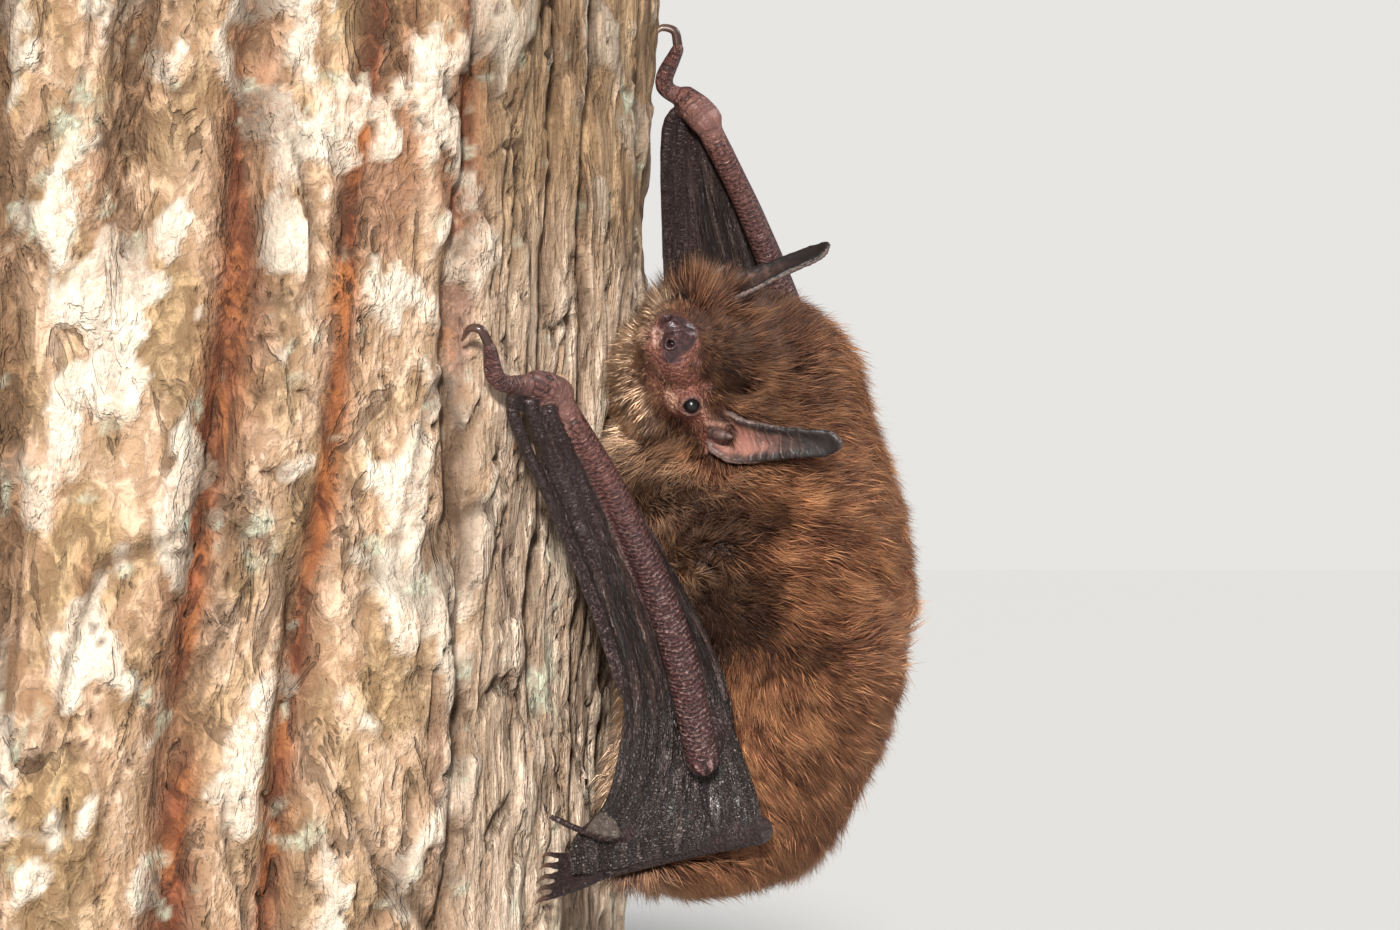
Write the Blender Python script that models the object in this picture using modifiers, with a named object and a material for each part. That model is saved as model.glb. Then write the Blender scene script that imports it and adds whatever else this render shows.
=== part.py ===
"""A life-size brown bat that clings to a cut length of tree trunk, on a plain display stand.

Metres, +Z up. The origin is the middle of the stand's underside. +X points from the trunk's axis
towards the bat's side, and -Y is the side that the bat's left wing and its turned head face.
"""

import math

import bmesh
import bpy
from mathutils import Matrix, Vector

MM = 0.001
GAP = 0.3 * MM

# ---------------------------------------------------------------- driving sizes, in millimetres

BASE_RADIUS = 63.0
BASE_THICK = 8.0
BASE_EDGE = 1.2
ROD_RADIUS = 5.0
ROD_SPACING = 34.0

LOG_RADIUS = 48.5
LOG_LENGTH = 100.0
LOG_FOOT = 22.0
LOG_AXIS_X = -8.0
LOG_LEAN = 0.045
LOG_ROWS = 10
CLING_ANGLE = math.radians(15.0)

# Furrows between the bark's plates, in order round the trunk: degrees from +X towards -Y at
# mid-height, degrees of drift at the top, degrees of sway, the height where the sway is greatest,
# half width, depth, and the heights between which the furrow is open.
BACK_FURROWS = [
    (-234 + 30 * i, 3 * math.cos(2.4 * i), 1.6, 40 + 11 * i % 50, 1.6, 1.9 + 0.4 * math.sin(i), 0, 150)
    for i in range(8)
]
FRONT_FURROWS = [
    (8.0, 1.0, 0.8, 60.0, 1.0, 1.1, 0.0, 150.0),
    (21.5, 0.6, 0.7, 95.0, 0.9, 1.2, 0.0, 150.0),
    (29.5, -1.0, 0.7, 80.0, 0.9, 1.3, 46.0, 150.0),
    (44.5, 1.2, 1.2, 86.0, 1.3, 1.8, 0.0, 150.0),
    (59.5, -4.0, 0.6, 50.0, 1.4, 1.6, 0.0, 76.0),
    (71.0, -4.0, 0.7, 50.0, 2.0, 2.2, 0.0, 150.0),
    (80.5, -1.0, 0.6, 100.0, 1.7, 2.3, 84.0, 150.0),
    (92.0, 1.0, 1.0, 40.0, 1.5, 1.9, 0.0, 150.0),
]
FURROWS = BACK_FURROWS + FRONT_FURROWS
FURROW_LIP = 1.5
FURROW_FADE = 9.0

COAT_VOXEL = 0.62
HEAD_VOXEL = 0.36
BODY_TRIANGLES = 1900
BODY_PIECE_TRIANGLES = 390
MEMBRANE_TRIANGLES = 620
HEAD_TRIANGLES = 1000

# The head is turned to the bat's left. These are its centre and the ways its nose and crown point.
HEAD_CENTRE = Vector((46.2, -22.4, 80.3))
NOSE_WAY = Vector((-0.181, -0.912, 0.333))
CROWN_WAY = Vector((0.975, -0.120, 0.150))

EYE_RADIUS = 0.68
EYE_PLACE = (3.55, 4.75, -0.25)
EYE_PLAY = 0.06

EAR_THICK = 0.5
EAR_ROWS = 9
EAR_COLUMNS = 5

MEMBRANE_THICK = 0.55

# ---------------------------------------------------------------- skeleton, in millimetres
# Left is the side that faces -Y. Each limb is a chain of joints, and radii go with them.

LEFT_ARM = {
    "shoulder": (51.5, -16.0, 68.0),
    "elbow": (46.7, -29.6, 47.4),
    "wrist": (34.3, -30.6, 78.0),
    "bow": (3.6, -0.6, 1.4),
    "thumb": [(33.0, -32.2, 78.7), (29.9, -34.6, 78.9), (29.2, -35.6, 81.6)],
    "claw": [(29.1, -35.7, 82.0), (28.5, -36.3, 83.1), (27.6, -36.0, 83.2), (26.9, -34.8, 82.3)],
    "finger_3": [(30.9, -33.2, 76.8), (34.5, -31.8, 68.0), (37.5, -30.6, 60.5), (40.1, -29.2, 52.8)],
    "finger_4": [(32.7, -32.6, 76.4), (36.0, -31.0, 68.0), (38.9, -29.8, 60.5), (41.4, -28.5, 51.5)],
    "finger_5": [(34.3, -32.0, 75.8), (37.6, -30.4, 67.5), (40.4, -29.2, 60.0), (42.7, -28.0, 50.5)],
    "tip": [(40.7, -27.6, 51.4), (41.8, -27.2, 46.5), (41.6, -27.8, 42.8), (39.6, -29.7, 40.9),
            (37.0, -30.0, 41.4), (34.2, -29.6, 42.6)],
}
RIGHT_ARM = {
    "shoulder": (54.0, -11.0, 73.0),
    "elbow": (58.6, 0.8, 69.6),
    "wrist": (46.7, 3.6, 103.4),
    "bow": (2.9, 1.0, 0.8),
    "thumb": [(45.3, 3.9, 104.9), (43.2, 3.7, 106.2), (44.5, 3.3, 109.4)],
    "claw": [(44.5, 3.3, 109.8), (44.2, 3.2, 111.0), (43.1, 3.1, 111.3), (42.3, 2.8, 110.6)],
    "finger_3": [(43.6, 5.0, 102.4), (43.5, 6.0, 92.0), (44.0, 7.0, 82.0), (44.8, 7.6, 72.0)],
    "finger_4": [(44.9, 5.4, 101.6), (44.8, 6.8, 91.0), (45.5, 7.8, 81.0), (46.6, 8.2, 71.0)],
    "finger_5": [(46.1, 5.6, 101.0), (46.1, 7.2, 90.5), (47.0, 8.0, 80.0), (48.4, 8.2, 70.0)],
    "tip": [(46.0, 7.7, 70.2), (46.0, 7.4, 63.0), (45.2, 6.8, 56.0), (43.8, 6.4, 50.0)],
}
LEFT_LEG = {
    "knee": (51.4, -26.2, 41.3),
    "ankle": (38.9, -27.8, 38.2),
    "toes": (33.9, -26.2, 37.4),
    "spread": (0.1, 0.6, 0.8),
}
RIGHT_LEG = {
    "knee": (57.0, -6.7, 43.4),
    "ankle": (46.4, 2.4, 40.8),
    "toes": (41.7, 4.4, 39.6),
    "spread": (-0.1, -0.6, 0.8),
}
TAIL = [(51.0, -13.6, 36.2), (48.2, -13.0, 35.3), (45.2, -12.2, 35.0), (42.4, -11.4, 35.6)]

FOREARM_RADII = (1.15, 1.1, 1.25, 1.4, 1.5, 1.6, 1.5)
UPPER_ARM_RADII = (2.2, 2.0, 1.6, 1.35, 1.25)
FINGER_RADII = (0.75, 0.6, 0.55, 0.5)
TIP_RADII = (0.42, 0.4, 0.36, 0.3)
THUMB_RADII = (0.9, 0.8, 0.6)
CLAW_RADII = (0.5, 0.45, 0.32, 0.26)
LEG_RADII = (1.35, 1.05, 0.95, 0.85)
TAIL_RADII = (0.9, 0.7, 0.55, 0.4)


# ---------------------------------------------------------------- frames

def cling_frame():
    """Ways out from the trunk, to the bat's left and up, at the side it clings to."""
    out = Vector((math.cos(CLING_ANGLE), -math.sin(CLING_ANGLE), 0.0))
    left = Vector((-math.sin(CLING_ANGLE), -math.cos(CLING_ANGLE), 0.0))
    return out, left


def body_matrix(out, left, up):
    """Places a body form: out from the trunk's axis, to the bat's left, and above the floor."""
    out_way, left_way = cling_frame()
    place = Vector((LOG_AXIS_X, 0.0, 0.0)) + out_way * out + left_way * left + Vector((0, 0, up))
    turn = Matrix((out_way, left_way, Vector((0, 0, 1)))).transposed()
    return Matrix.Translation(place * MM) @ turn.to_4x4()


def head_ways():
    forward = NOSE_WAY.normalized()
    crown = (CROWN_WAY - forward * CROWN_WAY.dot(forward)).normalized()
    return forward, crown.cross(forward), crown


def head_point(forward, left, crown):
    ways = head_ways()
    return HEAD_CENTRE + ways[0] * forward + ways[1] * left + ways[2] * crown


def head_matrix(forward, left, crown):
    turn = Matrix(head_ways()).transposed()
    return Matrix.Translation(head_point(forward, left, crown) * MM) @ turn.to_4x4()


# ---------------------------------------------------------------- Blender helpers

def clear_scene():
    for obj in list(bpy.data.objects):
        bpy.data.objects.remove(obj, do_unlink=True)


def collection(name, hidden=False):
    made = bpy.data.collections.new(name)
    made.hide_render = hidden
    bpy.context.scene.collection.children.link(made)
    return made


def finish_material(name, colour, roughness, metallic=0.0):
    made = bpy.data.materials.new(name)
    made.use_nodes = True
    surface = made.node_tree.nodes["Principled BSDF"]
    surface.inputs["Base Color"].default_value = (*colour, 1.0)
    surface.inputs["Roughness"].default_value = roughness
    surface.inputs["Metallic"].default_value = metallic
    return made


def add_object(name, mesh, material=None, home=None):
    obj = bpy.data.objects.new(name, mesh)
    (home or PARTS).objects.link(obj)
    if material:
        mesh.materials.clear()
        mesh.materials.append(material)
    return obj


def as_mesh(obj, weld=0.0):
    """Turns an object, with its modifiers, into a plain mesh object of the same name."""
    name = obj.name
    home = obj.users_collection[0]
    world = obj.matrix_world.copy()
    bpy.context.view_layer.update()
    evaluated = obj.evaluated_get(bpy.context.evaluated_depsgraph_get())
    mesh = bpy.data.meshes.new_from_object(evaluated)
    bpy.data.objects.remove(obj, do_unlink=True)
    if weld:
        shape = bmesh.new()
        shape.from_mesh(mesh)
        bmesh.ops.remove_doubles(shape, verts=shape.verts, dist=weld)
        shape.to_mesh(mesh)
        shape.free()
    made = bpy.data.objects.new(name, mesh)
    made.matrix_world = world
    home.objects.link(made)
    return made


def smooth_shade(obj, angle=50.0):
    obj.data.shade_smooth()
    obj.data.set_sharp_from_angle(angle=math.radians(angle))


def ellipsoids(name, forms, place):
    """One mesh of the spheres in forms, each ((centre), (half sizes)), set by the place function."""
    shape = bmesh.new()
    for centre, half in forms:
        stretch = Matrix.Diagonal((*(size * MM for size in half), 1.0))
        bmesh.ops.create_uvsphere(
            shape, u_segments=24, v_segments=16, radius=1.0, matrix=place(*centre) @ stretch
        )
    mesh = bpy.data.meshes.new(name)
    shape.to_mesh(mesh)
    shape.free()
    return mesh


def fuse(obj, voxel, rounds, triangles):
    """Melts the overlapping forms of one object into a smooth skin of about that many triangles."""
    remesh = obj.modifiers.new("Fuse", "REMESH")
    remesh.mode = "VOXEL"
    remesh.voxel_size = voxel * MM
    smooth = obj.modifiers.new("Smooth", "SMOOTH")
    smooth.factor = 0.5
    smooth.iterations = rounds
    obj = as_mesh(obj)
    faces = sum(len(face.vertices) - 2 for face in obj.data.polygons)
    fewer = obj.modifiers.new("Fewer faces", "DECIMATE")
    fewer.ratio = min(1.0, triangles / faces)
    return as_mesh(obj)


def spline_through(points, count):
    """Points at even steps of a Catmull-Rom curve through the given ones."""
    ends = [points[0] * 2 - points[1], *points, points[-1] * 2 - points[-2]]
    spans = len(points) - 1
    found = []
    for step in range(count):
        at = step / (count - 1) * spans
        span = min(int(at), spans - 1)
        t = at - span
        a, b, c, d = ends[span:span + 4]
        found.append(
            (b * 2 + (c - a) * t + (a * 2 - b * 5 + c * 4 - d) * t * t
             + (b * 3 - a - c * 3 + d) * t * t * t) * 0.5
        )
    return found


def between(values, share):
    """The value at a share, 0 to 1, of a short list, in straight steps."""
    at = share * (len(values) - 1)
    low = min(int(at), len(values) - 2)
    return values[low] + (values[low + 1] - values[low]) * (at - low)


def tube(name, points, radii, material=None, rings=9, sides=3, grow=0.0, home=None, round_ends=True):
    """A limb or finger: a bevelled curve through the joints, its radius following the radii."""
    path = spline_through([Vector(p) for p in points], rings)
    curve = bpy.data.curves.new(name, "CURVE")
    curve.dimensions = "3D"
    curve.bevel_depth = MM
    curve.bevel_resolution = sides
    curve.use_fill_caps = True
    spline = curve.splines.new("POLY")
    sizes = [between(radii, i / (rings - 1)) + grow for i in range(rings)]
    if round_ends:
        first = (path[0] - path[1]).normalized()
        last = (path[-1] - path[-2]).normalized()
        path = [path[0] + first * sizes[0] * 0.75, *path, path[-1] + last * sizes[-1] * 0.75]
        sizes = [sizes[0] * 0.6, *sizes, sizes[-1] * 0.6]
    spline.points.add(len(path) - 1)
    for point, place, size in zip(spline.points, path, sizes):
        point.co = (*(place * MM), 1.0)
        point.radius = size
    obj = bpy.data.objects.new(name, curve)
    (home or PARTS).objects.link(obj)
    obj = as_mesh(obj, weld=0.001 * MM)
    if material:
        obj.data.materials.clear()
        obj.data.materials.append(material)
    smooth_shade(obj)
    return obj


def sheet(name, surface, columns, rows, thick, material):
    """A thin skin: an open grid on surface(across, along), both 0 to 1, made thick by Solidify."""
    shape = bmesh.new()
    grid = [
        [shape.verts.new(surface(c / columns, r / rows) * MM) for c in range(columns + 1)]
        for r in range(rows + 1)
    ]
    for low, high in zip(grid, grid[1:]):
        for i in range(columns):
            shape.faces.new((low[i], low[i + 1], high[i + 1], high[i]))
    bmesh.ops.recalc_face_normals(shape, faces=shape.faces)
    mesh = bpy.data.meshes.new(name)
    shape.to_mesh(mesh)
    shape.free()
    obj = add_object(name, mesh, material)
    solid = obj.modifiers.new("Thickness", "SOLIDIFY")
    solid.thickness = thick * MM
    solid.offset = 0.0
    obj = as_mesh(obj)
    smooth_shade(obj)
    return obj


def grown(obj, by=GAP):
    """A cutter: a copy of the object with its surface moved out."""
    copy = bpy.data.objects.new(obj.name + ".cutter", obj.data.copy())
    copy.matrix_world = obj.matrix_world
    CUTTERS.objects.link(copy)
    push = copy.modifiers.new("Grow", "DISPLACE")
    push.mid_level = 0.0
    push.strength = by
    copy = as_mesh(copy)
    copy.hide_render = True
    copy.display_type = "WIRE"
    return copy


def cut(obj, cutters, operation="DIFFERENCE"):
    for cutter in cutters:
        trim = obj.modifiers.new("Cut", "BOOLEAN")
        trim.operation = operation
        trim.object = cutter
        obj = as_mesh(obj)
    smooth_shade(obj)
    return obj


def thinned(obj, triangles):
    """Takes faces off a piece that its cuts have left dense, down to about that many triangles."""
    faces = sum(len(face.vertices) - 2 for face in obj.data.polygons)
    if faces > triangles:
        fewer = obj.modifiers.new("Fewer faces", "DECIMATE")
        fewer.ratio = triangles / faces
        obj = as_mesh(obj)
        smooth_shade(obj)
    return obj


def largest_piece(obj):
    """Keeps the biggest connected piece, so that a trimmed sliver doesn't stay as a loose body."""
    shape = bmesh.new()
    shape.from_mesh(obj.data)
    left = set(shape.verts)
    pieces = []
    while left:
        piece, todo = set(), [left.pop()]
        while todo:
            vert = todo.pop()
            piece.add(vert)
            for edge in vert.link_edges:
                other = edge.other_vert(vert)
                if other in left:
                    left.remove(other)
                    todo.append(other)
        pieces.append(piece)
    pieces.sort(key=len)
    for piece in pieces[:-1]:
        bmesh.ops.delete(shape, geom=list(piece), context="VERTS")
    shape.to_mesh(obj.data)
    shape.free()
    return obj


def box(name, low, high):
    """A cutter box between two corners, in millimetres."""
    low, high = Vector(low) * MM, Vector(high) * MM
    shape = bmesh.new()
    size = Matrix.Diagonal((*(high - low), 1.0))
    bmesh.ops.create_cube(shape, size=1.0, matrix=Matrix.Translation((low + high) / 2) @ size)
    mesh = bpy.data.meshes.new(name)
    shape.to_mesh(mesh)
    shape.free()
    obj = add_object(name, mesh, home=CUTTERS)
    obj.hide_render = True
    obj.display_type = "WIRE"
    return obj


# ---------------------------------------------------------------- stand and perch

def furrow_angle(furrow, height):
    """The angle of a furrow's bottom at a height."""
    angle, drift, sway, crest = furrow[:4]
    rise = (height - LOG_FOOT - LOG_LENGTH / 2) / LOG_LENGTH * 2
    return math.radians(angle + drift * rise + sway * math.cos((height - crest) / 11.0))


def furrow_depth(angle, height):
    """How deep the furrows cut into the bark at an angle and height."""
    deepest = 0.0
    for furrow in FURROWS:
        width, depth, low, high = furrow[4:]
        turn = math.remainder(angle - furrow_angle(furrow, height), 2 * math.pi)
        opened = min(max((height - low) / FURROW_FADE, 0), max((high - height) / FURROW_FADE, 0), 1)
        deepest = max(deepest, depth * opened * math.exp(-((turn * LOG_RADIUS / width) ** 2)))
    return deepest


def bark_relief(angle, height):
    """How far the bark stands out of its mean round at an angle from +X towards -Y, in millimetres."""
    drift = 0.35 * math.sin(height / 19.0) + 0.2 * math.sin(height / 8.0 + 1.7)
    plates = 0.85 * math.cos(7 * angle + drift * 2.0 + 0.6)
    ribs = 0.55 * math.cos(13 * angle - drift * 3.0 + 2.1)
    knots = 0.45 * math.sin(height / 9.0 + 4 * angle) * math.cos(5 * angle + 1.0)
    return plates + ribs + knots - furrow_depth(angle, height)


def stand_base(material):
    shape = bmesh.new()
    bmesh.ops.create_cone(
        shape, cap_ends=True, segments=40, radius1=BASE_RADIUS * MM, radius2=BASE_RADIUS * MM,
        depth=BASE_THICK * MM, matrix=Matrix.Translation((0, 0, BASE_THICK * MM / 2)),
    )
    mesh = bpy.data.meshes.new("stand_base")
    shape.to_mesh(mesh)
    shape.free()
    obj = add_object("stand_base", mesh, material)
    edge = obj.modifiers.new("Edge", "BEVEL")
    edge.width = BASE_EDGE * MM
    edge.segments = 1
    edge.limit_method = "ANGLE"
    smooth_shade(obj)
    return obj


def stand_rods(material):
    for side, name in ((-1, "stand_rod_left"), (1, "stand_rod_right")):
        low, high = BASE_THICK * MM + GAP, LOG_FOOT * MM - GAP
        shape = bmesh.new()
        place = Vector((LOG_AXIS_X * MM, side * ROD_SPACING / 2 * MM, (low + high) / 2))
        bmesh.ops.create_cone(
            shape, cap_ends=True, segments=16, radius1=ROD_RADIUS * MM, radius2=ROD_RADIUS * MM,
            depth=high - low, matrix=Matrix.Translation(place),
        )
        mesh = bpy.data.meshes.new(name)
        shape.to_mesh(mesh)
        shape.free()
        smooth_shade(add_object(name, mesh, material))


def bark_angles(height):
    """Angles round the trunk at a height: both lips and the bottom of each furrow, and each crown."""
    angles = []
    for furrow, after in zip(FURROWS, FURROWS[1:] + FURROWS[:1]):
        bottom, lip = furrow_angle(furrow, height), FURROW_LIP * furrow[4] / LOG_RADIUS
        far = furrow_angle(after, height) - FURROW_LIP * after[4] / LOG_RADIUS
        far += 2 * math.pi if far < bottom else 0
        angles += [bottom - lip, bottom, bottom + lip, (bottom + lip + far) / 2]
    return angles


def perch_trunk(material):
    """The cut length of trunk: rings of corners on its bark, which follow the furrows upwards."""
    shape = bmesh.new()
    middle = LOG_FOOT + LOG_LENGTH / 2
    rings = []
    for row in range(LOG_ROWS + 1):
        height = LOG_FOOT + LOG_LENGTH * row / LOG_ROWS
        ring = []
        for angle in bark_angles(height):
            reach = LOG_RADIUS + bark_relief(angle, height)
            x = LOG_AXIS_X + LOG_LEAN * (height - middle) + reach * math.cos(angle)
            ring.append(shape.verts.new(Vector((x, -reach * math.sin(angle), height)) * MM))
        rings.append(ring)
    for below, above in zip(rings, rings[1:]):
        for i in range(len(below)):
            shape.faces.new((below[i - 1], below[i], above[i], above[i - 1]))
    for ring in (rings[0], rings[-1]):
        shape.faces.new(ring)
    bmesh.ops.recalc_face_normals(shape, faces=shape.faces)
    bmesh.ops.triangulate(shape, faces=shape.faces)
    mesh = bpy.data.meshes.new("perch_trunk")
    shape.to_mesh(mesh)
    shape.free()
    obj = add_object("perch_trunk", mesh, material)
    smooth_shade(obj)
    return obj


# ---------------------------------------------------------------- body and head

def body_forms():
    """Fur-deep forms of the trunk and neck: ((out, left, up), (half out, half left, half up))."""
    return [
        ((61.7, 0.0, 67.0), (12.4, 11.1, 14.8)),
        ((62.2, 0.2, 62.0), (12.5, 11.3, 11.4)),
        ((62.0, 0.3, 56.5), (12.8, 11.3, 15.8)),
        ((59.5, 0.0, 46.5), (11.0, 10.5, 10.9)),
        ((56.4, 0.2, 43.0), (8.8, 9.4, 7.0)),
        ((60.4, -1.6, 78.0), (10.3, 7.7, 9.4)),
        ((57.4, -2.6, 76.0), (9.8, 8.0, 9.4)),
        ((59.6, 4.6, 65.6), (8.6, 8.0, 8.8)),
        ((56.0, 3.4, 70.0), (8.4, 7.8, 8.0)),
    ]


def head_forms():
    """Forms of the head: ((forward, left, crown), (half forward, half left, half crown))."""
    forms = [
        ((-2.4, -0.8, 0.2), (6.8, 9.5, 8.4)),
        ((-1.0, -0.7, -3.6), (6.1, 8.0, 6.0)),
        ((0.8, 0.0, 2.4), (5.4, 6.0, 5.0)),
        ((4.4, 0.0, 0.2), (4.9, 2.8, 2.6)),
        ((5.0, 0.0, -2.7), (3.5, 2.4, 1.8)),
        ((1.6, 0.0, -0.6), (4.8, 5.1, 4.4)),
    ]
    for side in (-1, 1):
        forms += [
            ((5.6, side * 1.7, -0.7), (2.9, 1.9, 2.1)),
            ((8.3, side * 0.9, -0.7), (1.4, 1.0, 1.0)),
            ((2.9, side * 2.9, -0.5), (2.5, 2.2, 2.4)),
            ((3.6, side * 2.5, -2.2), (2.8, 1.9, 1.8)),
            ((-0.4, side * 5.9, 2.2), (2.9, 2.7, 2.9)),
        ]
    return forms


def make_head(material):
    obj = add_object("head", ellipsoids("head", head_forms(), head_matrix), material)
    obj = fuse(obj, HEAD_VOXEL, 6, HEAD_TRIANGLES)
    smooth_shade(obj)
    return obj


def make_eyes(head, material):
    """Eyes as near-round beads, and the sockets that they sit in."""
    forward, left, crown = EYE_PLACE
    for side, name in ((1, "eye_left"), (-1, "eye_right")):
        place = head_matrix(forward, side * left, crown)
        meshes = []
        for radius in (EYE_RADIUS, EYE_RADIUS + EYE_PLAY):
            shape = bmesh.new()
            bmesh.ops.create_uvsphere(
                shape, u_segments=10, v_segments=6, radius=radius * MM, matrix=place
            )
            mesh = bpy.data.meshes.new(name)
            shape.to_mesh(mesh)
            shape.free()
            meshes.append(mesh)
        smooth_shade(add_object(name, meshes[0], material))
        socket = add_object(name + ".socket", meshes[1], home=CUTTERS)
        socket.hide_render = True
        socket.display_type = "WIRE"
        head = cut(head, [socket])
    return head


def make_body(head, trunk, material):
    """Neck, chest and belly: one fused form, trimmed by head and bark and parted by thin cuts."""
    whole = add_object("whole", ellipsoids("whole", body_forms(), body_matrix), material)
    whole = fuse(whole, COAT_VOXEL, 8, BODY_TRIANGLES)
    whole = cut(whole, [grown(head), grown(trunk)])
    whole = largest_piece(whole)
    levels = {"rump": (20, 45), "belly": (45, 60), "chest": (60, 75), "neck": (75, 100)}
    pieces = {}
    for name, (low, high) in levels.items():
        copy = add_object(name, whole.data.copy(), material)
        slab = box(name + ".slab", (0, -60, low + GAP / MM / 2), (110, 60, high - GAP / MM / 2))
        piece = largest_piece(cut(copy, [slab], "INTERSECT"))
        pieces[name] = thinned(piece, BODY_PIECE_TRIANGLES)
    bpy.data.objects.remove(whole, do_unlink=True)
    return pieces


def ear_surface(side):
    """The scoop of one ear: side is 1 for the left and -1 for the right."""
    if side > 0:
        line = [(0.7, 5.8, 1.4), (1.5, 7.8, 3.2), (2.5, 9.2, 7.2), (3.0, 10.2, 11.8)]
    else:
        line = [(-0.2, -5.2, 2.2), (-0.4, -6.9, 4.2), (-0.6, -8.4, 8.0), (-0.8, -9.9, 12.3)]
    middle = spline_through([head_point(*p) for p in line], 33)
    ways = head_ways()
    facing = (ways[0] * 0.78 + ways[1] * side * 0.6).normalized()
    widths = (2.0, 2.75, 2.65, 2.2, 1.75, 1.45, 1.25, 0.7)
    curls = (1.9, 1.55, 1.25, 1.0, 0.85, 0.75, 0.6, 0.5)

    def surface(across, along):
        at = min(int(along * 32), 31)
        share = along * 32 - at
        centre = middle[at].lerp(middle[at + 1], share)
        way = (middle[at + 1] - middle[at]).normalized()
        open_way = (facing - way * facing.dot(way)).normalized()
        side_way = way.cross(open_way)
        half = between(widths, along)
        curl = between(curls, along)
        turn = (across * 2 - 1) * curl
        reach = half / curl
        return centre + side_way * reach * math.sin(turn) + open_way * reach * (
            1 - math.cos(turn) - 0.35
        )

    return surface


def make_ears(head, body_cutters, skin):
    cutters = [grown(head), *body_cutters]
    for side, name in ((1, "left"), (-1, "right")):
        ear = sheet(f"ear_{name}", ear_surface(side), EAR_COLUMNS, EAR_ROWS, EAR_THICK, skin)
        largest_piece(cut(ear, cutters))
        lift = 0.0 if side > 0 else 1.1
        blade = [
            head_point(2.2, side * 6.8, 1.2 + lift),
            head_point(2.9, side * 7.9, 2.6 + lift),
            head_point(3.2, side * 8.7, 4.2 + lift),
        ]
        tragus = tube(f"tragus_{name}", blade, (0.75, 0.6, 0.3), skin, rings=4, sides=1)
        largest_piece(cut(tragus, cutters))


# ---------------------------------------------------------------- wings

def forearm_line(arm):
    """From the wrist to the elbow, bowed away from the fingers."""
    wrist, elbow, bow = Vector(arm["wrist"]), Vector(arm["elbow"]), Vector(arm["bow"])
    return [
        wrist.lerp(elbow, t) + bow * 4 * t * (1 - t) * 0.5 for t in (0.03, 0.25, 0.5, 0.75, 1.0)
    ]


def left_membrane(across, along):
    """The folded skin of the left wing, from its free edge to the body's side, wrist to shank."""
    rows = [
        ((31.6, -32.2, 77.0), (33.2, -31.6, 76.7), (34.8, -30.6, 76.4), (35.6, -29.8, 76.2)),
        ((34.5, -31.0, 69.4), (36.6, -30.2, 69.4), (38.8, -29.2, 69.2), (40.0, -28.5, 69.0)),
        ((37.4, -30.0, 62.0), (39.8, -29.2, 62.0), (42.2, -28.2, 61.8), (44.6, -27.9, 61.6)),
        ((39.8, -29.8, 54.4), (42.2, -29.0, 54.4), (45.0, -27.6, 54.6), (48.4, -27.2, 54.8)),
        ((39.9, -30.0, 49.4), (42.6, -29.0, 49.2), (46.0, -27.4, 49.0), (49.6, -26.6, 49.2)),
        ((38.6, -29.8, 44.0), (41.8, -29.0, 44.4), (46.2, -27.6, 45.0), (50.8, -26.6, 45.8)),
        ((35.8, -28.9, 40.6), (40.2, -28.9, 41.2), (46.2, -28.0, 42.0), (51.6, -26.8, 43.2)),
        ((35.7, -28.5, 37.6), (40.2, -28.6, 38.4), (46.2, -27.8, 39.8), (51.4, -26.9, 41.4)),
    ]
    return grid_point(rows, across, along)


def right_membrane(across, along):
    """The same skin on the right wing, which reaches further up and stands off the body."""
    rows = [
        ((43.8, 5.6, 102.0), (44.9, 5.8, 101.6), (46.0, 5.8, 101.2), (46.9, 5.4, 100.8)),
        ((43.9, 6.8, 91.0), (46.2, 7.3, 90.6), (48.6, 6.8, 90.2), (50.6, 5.4, 89.8)),
        ((44.5, 7.8, 80.0), (47.6, 8.3, 79.6), (51.2, 7.2, 79.2), (54.8, 4.4, 78.8)),
        ((45.4, 8.4, 70.0), (49.2, 8.0, 69.0), (53.4, 5.4, 68.0), (57.4, 0.4, 66.8)),
        ((45.6, 7.8, 60.0), (49.6, 5.8, 59.0), (53.2, 2.6, 58.2), (56.8, -2.2, 57.6)),
        ((45.2, 6.6, 51.0), (48.8, 4.4, 50.6), (52.4, 0.8, 50.2), (55.8, -3.8, 50.2)),
        ((44.6, 4.6, 42.0), (48.6, 1.8, 42.8), (52.6, -1.8, 43.8), (56.0, -5.0, 45.2)),
    ]
    return grid_point(rows, across, along)


def grid_point(rows, across, along):
    """A point of a smooth surface through a small grid of places."""
    steps = 65
    at = along * (steps - 1)
    low = min(int(at), steps - 2)
    line = []
    for column in zip(*rows):
        path = spline_through([Vector(p) for p in column], steps)
        line.append(path[low].lerp(path[low + 1], at - low))
    path = spline_through(line, steps)
    at = across * (steps - 1)
    low = min(int(at), steps - 2)
    return path[low].lerp(path[low + 1], at - low)


def limb(name, points, radii, material, **shape):
    """A limb, and the slightly larger cutter that keeps its neighbours clear of it."""
    cutter = tube(name + ".cutter", points, radii, grow=GAP / MM, home=CUTTERS, **shape)
    cutter.hide_render = True
    cutter.display_type = "WIRE"
    return tube(name, points, radii, material, **shape), cutter


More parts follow.
